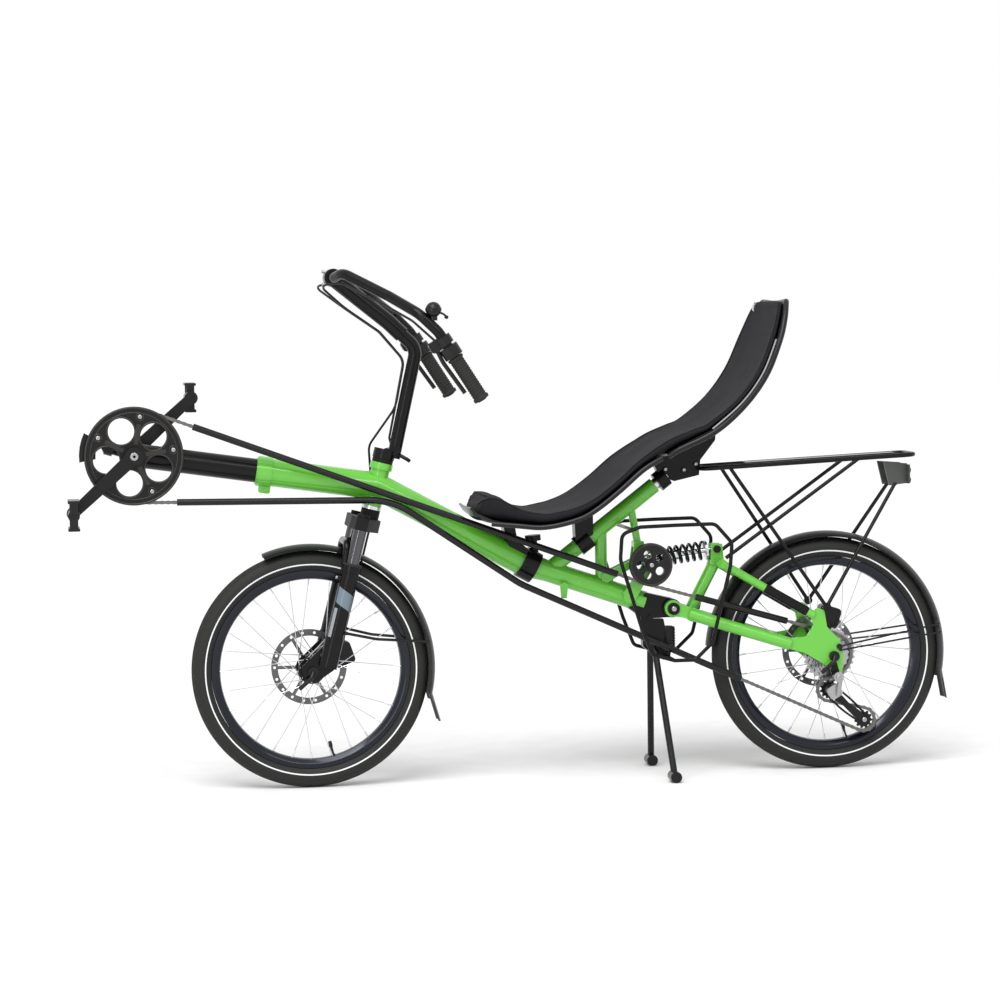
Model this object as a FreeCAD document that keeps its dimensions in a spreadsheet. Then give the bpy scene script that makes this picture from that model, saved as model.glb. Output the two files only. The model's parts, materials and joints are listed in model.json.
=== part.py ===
import FreeCAD, Part
import Sketcher
import math
import os
from types import SimpleNamespace

from FreeCAD import Placement, Rotation, Vector

# Recumbent bicycle with two 20 inch wheels, full suspension and above-seat steering.
# Millimetres. +X points forward, +Y to the rider's left, +Z up, and the floor is z = 0.
# Sub-parts are drawn with x = 0 at the rear axle, and their Placement moves them so that
# the origin of the row lies midway along the bicycle.

DIMENSIONS = (
    # where the whole bicycle stands
    ("rear_axle_back", 667), ("wheelbase", 1113), ("pivot_to_tyre", 91),
    # wheels
    ("wheel_radius", 250), ("tyre_width", 47), ("tyre_height", 41), ("rim_depth", 20), ("rim_width", 30),
    ("bead_gap", 0.2), ("spoke_count", 28), ("spoke_radius", 1.1), ("hub_width", 66),
    ("hub_barrel_radius", 17), ("hub_flange_radius", 29), ("hub_flange_thickness", 4),
    ("spoke_hole_inset", 4), ("axle_radius", 6), ("running_gap", 0.05), ("end_play", 0.5),
    ("seat_gap", 0.2), ("front_fork_width", 100), ("rear_fork_width", 135),
    # disc brakes
    ("rotor_radius", 80), ("rotor_track", 14), ("rotor_thickness", 2), ("rotor_inset", 10.5),
    ("rotor_carrier_radius", 22), ("rotor_bore_radius", 14), ("rotor_arms", 6), ("rotor_arm_width", 7),
    ("rotor_holes", 18), ("rotor_hole_radius", 3), ("caliper_slot", 12), ("caliper_width", 30),
    ("caliper_shift", 6),
    # steering axis, fork and head
    ("head_angle", 75.5), ("fork_rake", 45.7), ("axle_drop", 356.4), ("head_tube_length", 100),
    ("head_tube_radius", 20), ("steerer_radius", 14.3), ("head_gap", 1), ("head_play", 0.3),
    ("headset_height", 9), ("crown_top", 20), ("crown_thickness", 26), ("leg_spacing", 132),
    ("leg_forward", 19), ("stanchion_radius", 14), ("slider_radius", 18), ("slider_top", 132),
    ("slider_bottom", 336), ("arch_radius", 8), ("arch_gap", 6),
    # frame tubes
    ("bottom_bracket_x", 1474), ("bottom_bracket_z", 708), ("bottom_bracket_radius", 21),
    ("bottom_bracket_width", 68), ("boom_radius", 25), ("main_tube_radius", 29),
    ("boom_insertion", 110), ("main_tube_reach", 256), ("down_tube_radius", 28),
    ("knee_x", 655), ("knee_z", 460), ("lower_tube_radius", 23), ("lower_tube_end_x", 398),
    ("lower_tube_end_z", 371), ("seat_tube_foot_x", 605), ("seat_tube_top_x", 372),
    ("seat_tube_top_z", 620), ("seat_tube_radius", 17), ("strut_x", 489), ("strut_radius", 13),
    ("shock_strut_x", 424), ("shock_strut_radius", 8), ("ear_thickness", 5), ("ear_side", 14.5),
    ("yoke_rise", 36), ("idler_arm_side", 26),
    # swingarm
    ("pivot_x", 341), ("pivot_z", 358), ("pivot_radius", 20), ("pivot_width", 56),
    ("pivot_pin_radius", 8), ("pivot_ear_thickness", 12), ("stay_radius", 13),
    ("dropout_thickness", 7), ("seat_stay_radius", 9), ("stay_top_spread", 42),
    # shock
    ("shock_front_x", 413), ("shock_front_z", 459), ("shock_rear_x", 240), ("shock_rear_z", 481),
    ("shock_pin_radius", 4), ("shock_eye_width", 23), ("damper_radius", 11), ("spring_radius", 21),
    ("spring_wire_radius", 3), ("spring_turns", 8),
    # seat
    ("shell_thickness", 5), ("cushion_thickness", 30), ("cushion_inset", 6), ("soft_gap", 0.3),
    ("seat_dish", 9), ("seat_nose_gap", 11), ("seat_slider_radius", 12.5), ("seat_slider_reach", 34),
    # drivetrain
    ("chain_line", 45), ("chain_width", 6.6), ("chain_height", 8.6), ("chain_clearance", 0.6),
    ("chainring_radius", 92), ("chainring_teeth", 42), ("arm_angle", 100), ("window_ring", 57),
    ("window_radius", 27), ("tooth_height", 4), ("guard_radius", 102),
    ("guard_thickness", 3), ("crank_length", 170), ("crank_slope", 42.2), ("crank_offset", 76),
    ("crank_thickness", 12), ("spindle_radius", 12), ("pedal_length", 72), ("pedal_width", 62),
    ("pedal_thickness", 24), ("pedal_gap", 14), ("pedal_axle_radius", 7), ("idler_x", 390),
    ("idler_z", 453.5), ("idler_radius", 46), ("idler_track_radius", 37), ("idler_axle_radius", 6),
    ("sprocket_pitch", 5), ("sprocket_thickness", 1.8), ("spacer_radius", 21),
    ("sprocket_radius", 41), ("jockey_radius", 20), ("jockey_upper_x", 4), ("jockey_upper_drop", 75),
    ("jockey_lower_x", -72), ("jockey_lower_drop", 142), ("return_bend", 160),
    ("chain_tube_radius", 7), ("chain_tube_bore", 6),
    # mudguards
    ("mudguard_gap", 14), ("mudguard_width", 58), ("mudguard_thickness", 2.5),
    ("mudguard_crown", 12), ("mudguard_stay_radius", 2), ("flap_length", 62),
    # rack and pannier hoops
    ("rack_rod_radius", 5), ("rack_half_width", 50), ("rack_front_x", 276), ("rack_rear_x", -190),
    ("rack_front_z", 655), ("rack_rear_z", 676), ("rack_foot_x", 16), ("rack_foot_rise", 106),
    ("rack_strut_radius", 4), ("rack_plate_thickness", 3), ("lamp_hole_spacing", 80), ("lamp_plate_x", -177.5),
    ("lamp_plate_z", 634), ("lamp_plate_width", 96), ("lamp_plate_height", 40),
    ("lamp_hole_radius", 2.75), ("hoop_radius", 4), ("hoop_spacing", 200), ("hoop_bar_x", 352),
    ("hoop_bar_z", 254),
    # stand
    ("stand_pivot_x", 380), ("stand_pivot_z", 280), ("stand_back", 20), ("stand_pin_radius", 6),
    ("stand_bracket_half", 12), ("stand_rod_radius", 7), ("stand_top_spacing", 44),
    ("stand_foot_spacing", 250), ("stand_shoe_radius", 12), ("can_radius", 18),
    # bar
    ("riser_radius", 14), ("stem_radius", 17), ("riser_offset", 19), ("bar_radius", 11),
    ("bar_clamp_ahead", 72.5), ("bar_clamp_up", 486), ("bar_clamp_half", 20), ("grip_radius", 15),
    ("bar_half_width", 239), ("grip_length", 98), ("bell_radius", 16), ("bell_ahead", -181),
    ("bell_up", -70), ("cable_radius", 2.5),
)

os.makedirs("parts", exist_ok=True)
doc = FreeCAD.newDocument("RecumbentBicycle")
sheet = doc.addObject("Spreadsheet::Sheet", "Dims")
for row, (alias, value) in enumerate(DIMENSIONS, start=1):
    sheet.set(f"A{row}", alias)
    sheet.set(f"B{row}", str(value))
    sheet.setAlias(f"B{row}", alias)
doc.recompute()
d = SimpleNamespace(**{alias: float(sheet.get(alias)) for alias, _ in DIMENSIONS})

SIDE = Vector(0, 1, 0)
LEFT, RIGHT = 1, -1
DRIVE, BRAKE = LEFT, RIGHT  # the chain is on the left and the brake discs on the right
ACROSS = Rotation(Vector(1, 0, 0), -90)  # turns a body's own Z to the bicycle's +Y
sub_parts = []


# ---------------------------------------------------------------- helpers

def place(item, label, x="0", y="0", z="0", rotation=None):
    """Names a sub-part and binds its place to the sheet."""
    item.Label = label
    item.Placement = Placement(Vector(0, 0, 0), rotation or Rotation())
    item.setExpression("Placement.Base.x", f"{x} - Dims.rear_axle_back")
    item.setExpression("Placement.Base.y", y)
    item.setExpression("Placement.Base.z", z)
    sub_parts.append(item)
    return item


def feature(label, shape):
    """A sub-part whose shape is made by Part's functions from the sheet's values."""
    item = doc.addObject("Part::Feature", label)
    item.Shape = shape
    return place(item, label)


def at(x, z, y=0):
    return Vector(x, y, z)


def fuse(*shapes):
    flat = []
    for shape in shapes:
        flat += list(shape) if isinstance(shape, (list, tuple)) else [shape]
    if len(flat) == 1:
        return flat[0]
    return flat[0].multiFuse(flat[1:]).removeSplitter()


def rod(start, end, radius):
    run = end - start
    return Part.makeCylinder(radius, run.Length, start, run)


def pin(x, z, radius, y_from, y_to):
    """A cylinder across the bicycle."""
    return rod(Vector(x, y_from, z), Vector(x, y_to, z), radius)


def cone(start, end, start_radius, end_radius):
    run = end - start
    return Part.makeCone(start_radius, end_radius, run.Length, start, run)


def rounded_path(points, bend):
    """Straight runs through the points, joined by tangent arcs."""
    bends = bend if isinstance(bend, (list, tuple)) else [bend] * (len(points) - 2)
    edges = []
    start = points[0]
    for before, corner, after, radius in zip(points, points[1:], points[2:], bends):
        into = (corner - before).normalize()
        out = (after - corner).normalize()
        half_turn = into.getAngle(out) / 2
        reach = radius * math.tan(half_turn)
        first = corner - into * reach
        last = corner + out * reach
        inward = (out - into).normalize()
        middle = corner + inward * (radius / math.cos(half_turn) - radius)
        if (first - start).Length > 1e-6:
            edges.append(Part.LineSegment(start, first).toShape())
        edges.append(Part.Arc(first, middle, last).toShape())
        start = last
    edges.append(Part.LineSegment(start, points[-1]).toShape())
    return Part.Wire(edges)


def bent_rod(points, radius, bend):
    """A round rod along straight runs and tangent arcs."""
    path = rounded_path(points, bend)
    section = Part.Wire(Part.makeCircle(radius, points[0], points[1] - points[0]))
    return path.makePipeShell([section], True, False)


def plate(points, thickness, y_middle, bends=0):
    """A flat plate in the bicycle's XZ plane, from (x, z) corners."""
    corners = [Vector(x, y_middle - thickness / 2, z) for x, z in points]
    if bends:
        middle = (corners[-1] + corners[0]) * 0.5
        wire = rounded_path([middle] + corners + [middle], bends)
    else:
        wire = Part.makePolygon(corners + corners[:1])
    return Part.Face(wire).extrude(SIDE * thickness)


def flat(outline, thickness, y_middle, bends=0):
    """A plate whose corners are given as points."""
    return plate([(p.x, p.z) for p in outline], thickness, y_middle, bends)


def block(middle, size_x, size_y, size_z, tilt=0, corner=0):
    """A box about its middle, tilted about Y, with rounded edges across the bicycle."""
    low = Vector(-size_x / 2, -size_y / 2, -size_z / 2)
    shape = Part.makeBox(size_x, size_y, size_z, low)
    if corner:
        across = [e for e in shape.Edges if abs(e.tangentAt(0).y) > 0.99]
        shape = shape.makeFillet(corner, across)
    shape.rotate(Vector(0, 0, 0), SIDE, tilt)
    shape.translate(middle)
    return shape


def sector(section, centre, degrees):
    return section.revolve(centre, SIDE, degrees)


# ---------------------------------------------------------------- places that many pieces share

HEAD_UP = Vector(-math.cos(math.radians(d.head_angle)), 0, math.sin(math.radians(d.head_angle)))
HEAD_FORWARD = Vector(HEAD_UP.z, 0, -HEAD_UP.x)
REAR_AXLE = at(d.pivot_x - d.pivot_to_tyre - d.wheel_radius, d.wheel_radius)
FRONT_AXLE = REAR_AXLE + at(d.wheelbase, 0)
RIM_RADIUS = d.wheel_radius - d.tyre_height
MUDGUARD_RADIUS = d.wheel_radius + d.mudguard_gap
HEAD_LOW = FRONT_AXLE + HEAD_UP * d.axle_drop - HEAD_FORWARD * d.fork_rake
BOTTOM_BRACKET = at(d.bottom_bracket_x, d.bottom_bracket_z)
PIVOT = at(d.pivot_x, d.pivot_z)
KNEE = at(d.knee_x, d.knee_z)
LOWER_END = at(d.lower_tube_end_x, d.lower_tube_end_z)
SEAT_TUBE_TOP = at(d.seat_tube_top_x, d.seat_tube_top_z)
SHOCK_FRONT = at(d.shock_front_x, d.shock_front_z)
SHOCK_REAR = at(d.shock_rear_x, d.shock_rear_z)
IDLER = at(d.idler_x, d.idler_z)
HOOP_BAR = at(d.hoop_bar_x, d.hoop_bar_z)
STAND_PIVOT = at(d.stand_pivot_x, d.stand_pivot_z)


def head(up, forward=0, side=0):
    """A point by its height on the steering axis, its distance ahead of it and its side."""
    return HEAD_LOW + HEAD_UP * up + HEAD_FORWARD * forward + SIDE * side


HEAD_KINK = head(d.head_tube_length / 2)
BAR_CLAMP = HEAD_LOW + at(d.bar_clamp_ahead, d.bar_clamp_up)
RETURN_FRONT = HEAD_LOW + at(-33.5, 15)
RETURN_REAR = KNEE + at(16, -37.5)


def between(start, end, x):
    """The point of a line in the middle plane at a given x."""
    share = (x - start.x) / (end.x - start.x)
    return start + (end - start) * share


SEAT_TUBE_FOOT = between(KNEE, LOWER_END, d.seat_tube_foot_x)
SEAT_TUBE_RUN = (SEAT_TUBE_TOP - SEAT_TUBE_FOOT).normalize()
JOCKEY_UPPER = REAR_AXLE + at(d.jockey_upper_x, -d.jockey_upper_drop)
JOCKEY_LOWER = REAR_AXLE + at(d.jockey_lower_x, -d.jockey_lower_drop)
POST_RUN = at(60, 18)
RETURN_TAB_SIDE = 30


def round_point(centre, radius, degrees, side=0):
    """A point about a centre, by its angle from straight ahead, upwards, and its side."""
    angle = math.radians(degrees)
    return centre + at(radius * math.cos(angle), radius * math.sin(angle), side)


def over_down_tube(x):
    """Height of the down tube's upper side at x."""
    run = (HEAD_KINK - KNEE).normalize()
    return between(KNEE, HEAD_KINK, x).z + d.down_tube_radius / run.x


# ---------------------------------------------------------------- wheels

def new_sketch(body, name, plane):
    sketch = body.newObject("Sketcher::SketchObject", name)
    origin = [f for f in body.Origin.OriginFeatures if f.Role == plane][0]
    sketch.AttachmentSupport = [(origin, "")]
    sketch.MapMode = "FlatFace"
    return sketch


def tyre(label, x):
    """A round carcass, flat where it sits on the rim."""
    body = doc.addObject("PartDesign::Body", label)
    sketch = new_sketch(body, label + "_section", "XY_Plane")
    half = d.tyre_width / 2
    centre_x = d.wheel_radius - half
    seat_x = RIM_RADIUS + d.bead_gap
    angle = math.acos((centre_x - seat_x) / half)
    circle = Part.Circle(Vector(centre_x, 0, 0), Vector(0, 0, 1), half)
    sketch.addGeometry(Part.ArcOfCircle(circle, angle - math.pi, math.pi - angle), False)
    low = Vector(seat_x, -half * math.sin(angle), 0)
    high = Vector(seat_x, half * math.sin(angle), 0)
    sketch.addGeometry(Part.LineSegment(high, low), False)
    sketch.addConstraint(Sketcher.Constraint("Coincident", 0, 2, 1, 1))
    sketch.addConstraint(Sketcher.Constraint("Coincident", 0, 1, 1, 2))
    sketch.addConstraint(Sketcher.Constraint("Vertical", 1))
    sketch.addConstraint(Sketcher.Constraint("PointOnObject", 0, 3, -1))
    rules = (
        ("section_radius", Sketcher.Constraint("Radius", 0, half), "Dims.tyre_width / 2"),
        ("section_centre", Sketcher.Constraint("DistanceX", -1, 1, 0, 3, centre_x),
         "Dims.wheel_radius - Dims.tyre_width / 2"),
        ("bead_seat", Sketcher.Constraint("DistanceX", -1, 1, 1, 1, seat_x),
         "Dims.wheel_radius - Dims.tyre_height + Dims.bead_gap"),
    )
    for name, constraint, expression in rules:
        index = sketch.addConstraint(constraint)
        sketch.renameConstraint(index, name)
        sketch.setExpression("Constraints." + name, expression)
    doc.recompute()
    ring = body.newObject("PartDesign::Revolution", label + "_ring")
    ring.Profile = sketch
    ring.ReferenceAxis = (sketch, ["V_Axis"])
    ring.Angle = 360
    body.Tip = ring
    return place(body, label, x=x, z="Dims.wheel_radius")


def spoked_wheel(label, x, hub_end):
    """Rim, hub and crossed spokes about the wheel's centre, with the hub's ends."""
    centre = Vector(0, 0, 0)
    outer, inner = RIM_RADIUS, RIM_RADIUS - d.rim_depth
    half, half_inner = d.rim_width / 2, d.rim_width / 3
    rim_section = Part.Face(Part.makePolygon([
        Vector(outer, -half, 0), Vector(outer, half, 0), Vector(outer - d.rim_depth / 2, half, 0),
        Vector(inner, half_inner, 0), Vector(inner, -half_inner, 0),
        Vector(outer - d.rim_depth / 2, -half, 0), Vector(outer, -half, 0)]))
    rim = sector(rim_section, centre, 360)
    disc_face = hub_end + d.end_play - d.rotor_inset - d.rotor_thickness / 2
    hub = fuse(rod(SIDE * (DRIVE * hub_end), SIDE * (BRAKE * disc_face), d.hub_barrel_radius),
               rod(Vector(0, -hub_end, 0), Vector(0, hub_end, 0), d.rotor_bore_radius))
    spokes = []
    flange_middle = d.hub_width / 2 - d.hub_flange_thickness
    hole_radius = d.hub_flange_radius - d.spoke_hole_inset
    for side in (LEFT, RIGHT):
        low = Vector(0, side * flange_middle - d.hub_flange_thickness / 2, 0)
        hub = fuse(hub, rod(low, low + SIDE * d.hub_flange_thickness, d.hub_flange_radius))
    count = int(d.spoke_count)
    for index in range(count):
        side = LEFT if index % 2 == 0 else RIGHT
        lean = 1 if index % 4 < 2 else -1
        rim_angle = 2 * math.pi * index / count
        hub_angle = rim_angle + lean * math.radians(70)
        foot = Vector(hole_radius * math.cos(hub_angle), side * flange_middle,
                      hole_radius * math.sin(hub_angle))
        reach = inner + d.rim_depth / 3
        tip = Vector(reach * math.cos(rim_angle), side * d.rim_width / 10, reach * math.sin(rim_angle))
        spokes.append(rod(foot, tip, d.spoke_radius))
    wheel = fuse(rim, hub, spokes)
    bore = rod(Vector(0, -2 * hub_end, 0), Vector(0, 2 * hub_end, 0), d.axle_radius + d.running_gap)
    item = doc.addObject("Part::Feature", label)
    item.Shape = wheel.cut(bore)
    return place(item, label, x=x, z="Dims.wheel_radius")


def rotor(label, x, fork_width):
    """Brake disc: a drilled track on six arms, on the wheel's far side from the chain."""
    body = doc.addObject("PartDesign::Body", label)
    disc = new_sketch(body, label + "_disc", "XY_Plane")
    disc.addGeometry(Part.Circle(Vector(0, 0, 0), Vector(0, 0, 1), d.rotor_radius), False)
    disc.addGeometry(Part.Circle(Vector(0, 0, 0), Vector(0, 0, 1), d.rotor_bore_radius), False)
    rules = (("outer", 0, "Dims.rotor_radius"), ("bore", 1, "Dims.rotor_bore_radius"))
    for name, geometry, expression in rules:
        disc.addConstraint(Sketcher.Constraint("Coincident", geometry, 3, -1, 1))
        index = disc.addConstraint(Sketcher.Constraint("Radius", geometry, d.rotor_radius))
        disc.renameConstraint(index, name)
        disc.setExpression("Constraints." + name, expression)
    doc.recompute()
    pad = body.newObject("PartDesign::Pad", label + "_pad")
    pad.Profile = disc
    pad.setExpression("Length", "Dims.rotor_thickness")
    doc.recompute()
    window = new_sketch(body, label + "_window", "XY_Plane")
    step = 2 * math.pi / d.rotor_arms
    inner, outer = d.rotor_carrier_radius, d.rotor_radius - d.rotor_track
    trim_in = d.rotor_arm_width / 2 / inner
    trim_out = d.rotor_arm_width / 2 / outer
    low_in, high_in = trim_in, step - trim_in
    low_out, high_out = trim_out, step - trim_out

    def spot(radius, angle):
        return Vector(radius * math.cos(angle), radius * math.sin(angle), 0)

    circle = Vector(0, 0, 1)
    window.addGeometry(Part.ArcOfCircle(Part.Circle(Vector(0, 0, 0), circle, inner), low_in, high_in), False)
    window.addGeometry(Part.LineSegment(spot(inner, high_in), spot(outer, high_out)), False)
    window.addGeometry(Part.ArcOfCircle(Part.Circle(Vector(0, 0, 0), circle, outer), low_out, high_out), False)
    window.addGeometry(Part.LineSegment(spot(outer, low_out), spot(inner, low_in)), False)
    doc.recompute()
    pocket = body.newObject("PartDesign::Pocket", label + "_pocket")
    pocket.Profile = window
    pocket.Type = "ThroughAll"
    pocket.Midplane = True
    doc.recompute()
    arms = body.newObject("PartDesign::PolarPattern", label + "_arms")
    arms.Originals = [pocket]
    arms.Axis = (window, ["N_Axis"])
    arms.Angle = 360
    arms.setExpression("Occurrences", "Dims.rotor_arms")
    body.Tip = arms
    doc.recompute()
    hole = new_sketch(body, label + "_hole", "XY_Plane")
    hole.addGeometry(Part.Circle(Vector(outer + d.rotor_track / 2, 0, 0), circle, d.rotor_hole_radius), False)
    hole.addConstraint(Sketcher.Constraint("PointOnObject", 0, 3, -1))
    index = hole.addConstraint(Sketcher.Constraint("Radius", 0, d.rotor_hole_radius))
    hole.renameConstraint(index, "hole")
    hole.setExpression("Constraints.hole", "Dims.rotor_hole_radius")
    index = hole.addConstraint(Sketcher.Constraint("DistanceX", -1, 1, 0, 3, outer + d.rotor_track / 2))
    hole.renameConstraint(index, "pitch")
    hole.setExpression("Constraints.pitch", "Dims.rotor_radius - Dims.rotor_track / 2")
    doc.recompute()
    drilling = body.newObject("PartDesign::Pocket", label + "_drilling")
    drilling.Profile = hole
    drilling.Type = "ThroughAll"
    drilling.Midplane = True
    doc.recompute()
    holes = body.newObject("PartDesign::PolarPattern", label + "_holes")
    holes.Originals = [drilling]
    holes.Axis = (hole, ["N_Axis"])
    holes.Angle = 360
    holes.setExpression("Occurrences", "Dims.rotor_holes")
    body.Tip = holes
    return place(body, label, x=x, y=f"{BRAKE} * (Dims.{fork_width} / 2 - Dims.rotor_inset) - Dims.rotor_thickness / 2",
                 z="Dims.wheel_radius", rotation=ACROSS)


# ---------------------------------------------------------------- build

def laced_wheels():
    """Both wheels with their tyres and discs, placed by the sheet."""
    rear_x = "Dims.pivot_x - Dims.pivot_to_tyre - Dims.wheel_radius"
    # columns: name, place of the axle, width between the dropouts
    wheels = (("front", rear_x + " + Dims.wheelbase", "front_fork_width"), ("rear", rear_x, "rear_fork_width"))
    for name, x, fork_width in wheels:
        tyre(name + "_tyre", x)
        spoked_wheel(name + "_wheel", x, getattr(d, fork_width) / 2 - d.end_play)
        rotor(name + "_rotor", x, fork_width)


def toothed_disc(centre, tip_radius, teeth, y_middle, thickness):
    """A sprocket with two points to each tooth's tip and two to its root."""
    root_radius = tip_radius - d.tooth_height
    points = []
    for index in range(int(teeth)):
        for share, radius in ((0, root_radius), (0.3, root_radius), (0.5, tip_radius), (0.8, tip_radius)):
            angle = 2 * math.pi * (index + share) / int(teeth)
            points.append((centre.x + radius * math.cos(angle), centre.z + radius * math.sin(angle)))
    return plate(points, thickness, y_middle)


def cassette():
    """Seven sprockets on the hub's drive side, the largest inboard, with spacers between them."""
    # columns: place from the chain's own sprocket, tip radius, teeth
    sprockets = ((-2, 57, 28), (-1, 49, 24), (0, d.sprocket_radius, 20), (1, 37, 18), (2, 33, 16),
                 (3, 29, 14), (4, 25, 12))
    stack = [toothed_disc(REAR_AXLE, tip, teeth, DRIVE * (d.chain_line + place_out * d.sprocket_pitch),
                          d.sprocket_thickness)
             for place_out, tip, teeth in sprockets]
    inner = DRIVE * (d.chain_line - 2 * d.sprocket_pitch - d.sprocket_thickness / 2)
    outer = DRIVE * (d.chain_line + 4 * d.sprocket_pitch + d.sprocket_thickness / 2)
    spacer = pin(REAR_AXLE.x, REAR_AXLE.z, d.spacer_radius, inner, outer + DRIVE)
    bore = pin(REAR_AXLE.x, REAR_AXLE.z, d.hub_barrel_radius + d.seat_gap, inner - DRIVE * 5, outer + DRIVE * 5)
    feature("cassette", fuse(spacer, stack).cut(bore))


# ---------------------------------------------------------------- frame

def main_frame():
    """Welded main frame: front tube, head tube, down tube, lower tube, seat tube and struts."""
    toward_boom = (BOTTOM_BRACKET - HEAD_KINK).normalize()
    front_end = HEAD_KINK + toward_boom * d.main_tube_reach
    slope = -math.degrees(math.atan2(toward_boom.z, toward_boom.x))
    strut_top = between(SEAT_TUBE_FOOT, SEAT_TUBE_TOP, d.strut_x)
    strut_low = between(KNEE, LOWER_END, d.strut_x)
    shock_top = between(SEAT_TUBE_FOOT, SEAT_TUBE_TOP, d.shock_strut_x)
    tubes = fuse(
        rod(HEAD_KINK, front_end, d.main_tube_radius),
        rod(HEAD_KINK, KNEE, d.down_tube_radius),
        Part.makeSphere(d.down_tube_radius, HEAD_KINK),
        Part.makeSphere(d.down_tube_radius, KNEE),
        cone(KNEE, SEAT_TUBE_FOOT, d.down_tube_radius, d.lower_tube_radius),
        rod(SEAT_TUBE_FOOT, LOWER_END, d.lower_tube_radius),
        rod(SEAT_TUBE_FOOT, SEAT_TUBE_TOP, d.seat_tube_radius),
        rod(strut_low, strut_top, d.strut_radius),
        rod(head(0), head(d.head_tube_length), d.head_tube_radius),
        rod(head(d.head_tube_length - 14), head(d.head_tube_length), d.head_tube_radius + 4),
    )
    # yoke and ears that hold the shock's front eye
    yoke = SHOCK_FRONT + at(-4, d.yoke_rise)
    pieces = [rod(yoke, shock_top, d.shock_strut_radius),
              block(yoke, 22, 2 * d.ear_side, 14, corner=3)]
    for side in (LEFT, RIGHT):
        outline = [yoke + at(-9, 6), yoke + at(9, 6), SHOCK_FRONT + at(11, 4), strut_low + at(2, 30),
                   strut_low + at(2, 6), SHOCK_FRONT + at(6, -10), SHOCK_FRONT + at(-9, -6)]
        pieces.append(flat(outline, d.ear_thickness, side * d.ear_side))
    # arm that carries the idler's axle, on the drive side
    idler_foot = between(KNEE, LOWER_END, LOWER_END.x + 36)
    outline = [IDLER + at(-11, -4), IDLER + at(-4, 10), IDLER + at(9, 7), idler_foot + at(14, 8),
               idler_foot + at(-12, -8)]
    pieces.append(flat(outline, d.ear_thickness, DRIVE * d.idler_arm_side))
    pieces.append(pin(idler_foot.x, idler_foot.z, 12, DRIVE * (d.idler_arm_side + 2), 0))
    # split clamp that holds the boom
    collar_at = front_end - toward_boom * 17
    pieces.append(rod(front_end - toward_boom * 32, front_end - toward_boom * 3, d.main_tube_radius + 3))
    for side in (LEFT, RIGHT):
        pieces.append(block(collar_at + at(0, -d.main_tube_radius - 7, side * 7), 24, 7, 18,
                            tilt=slope, corner=4))
    clamp_bolt = pin(collar_at.x, collar_at.z - d.main_tube_radius - 9, 3.5, -14, 14)
    # tab for the return tube and gusset plates at the head
    tab_at = between(KNEE, LOWER_END, 575)
    pieces.append(flat([tab_at + at(-9, -15), tab_at + at(9, -15), tab_at + at(6, -46), tab_at + at(-6, -46)],
                       3, DRIVE * RETURN_TAB_SIDE))
    pieces.append(pin(tab_at.x, tab_at.z - 17, 5, DRIVE * (RETURN_TAB_SIDE + 1.5), 0))
    frame = fuse(tubes, pieces)
    cuts = [
        rod(front_end + toward_boom, front_end - toward_boom * (d.boom_insertion + 10),
            d.boom_radius + d.seat_gap),
        block(front_end - toward_boom * 25 - at(0, d.main_tube_radius), 60, 3, 44, tilt=slope),
        rod(head(-5), head(d.head_tube_length + 5), d.steerer_radius + d.head_gap),
        rod(SEAT_TUBE_TOP - SEAT_TUBE_RUN * 70, SEAT_TUBE_TOP + SEAT_TUBE_RUN * 10,
            d.seat_slider_radius + d.seat_gap),
        pin(SHOCK_FRONT.x, SHOCK_FRONT.z, d.shock_pin_radius + d.seat_gap, -40, 40),
        pin(IDLER.x, IDLER.z, d.idler_axle_radius + d.seat_gap, DRIVE * (d.idler_arm_side + 4),
            DRIVE * (d.idler_arm_side - 8)),
    ]
    feature("main_frame", fuse(frame.cut(cuts), clamp_bolt))
    outer = DRIVE * (d.chain_line + 11)
    arm_face = DRIVE * (d.idler_arm_side + d.ear_thickness / 2)
    feature("idler_axle", fuse(
        pin(IDLER.x, IDLER.z, d.idler_axle_radius, outer, arm_face - DRIVE * d.ear_thickness),
        pin(IDLER.x, IDLER.z, d.idler_axle_radius + 4, outer, DRIVE * (d.chain_line + 6.9)),
        pin(IDLER.x, IDLER.z, d.idler_axle_radius + 4, DRIVE * (d.chain_line - 6.9),
            arm_face + DRIVE * d.seat_gap)))


def boom():
    """Telescoping boom with the bottom bracket shell and the derailleur's post."""
    toward_frame = (HEAD_KINK - BOTTOM_BRACKET).normalize()
    length = (HEAD_KINK - BOTTOM_BRACKET).Length - d.main_tube_reach + d.boom_insertion
    half = d.bottom_bracket_width / 2
    shell = pin(BOTTOM_BRACKET.x, BOTTOM_BRACKET.z, d.bottom_bracket_radius, -half, half)
    lips = [pin(BOTTOM_BRACKET.x, BOTTOM_BRACKET.z, d.bottom_bracket_radius + 2, side * (half - 3),
                side * half) for side in (LEFT, RIGHT)]
    tube = rod(BOTTOM_BRACKET, BOTTOM_BRACKET + toward_frame * length, d.boom_radius)
    post = rod(BOTTOM_BRACKET, BOTTOM_BRACKET + POST_RUN, 11)
    bore = pin(BOTTOM_BRACKET.x, BOTTOM_BRACKET.z, d.spindle_radius + d.running_gap, -60, 60)
    feature("boom", fuse(tube, shell, lips, post).cut(bore))


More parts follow.
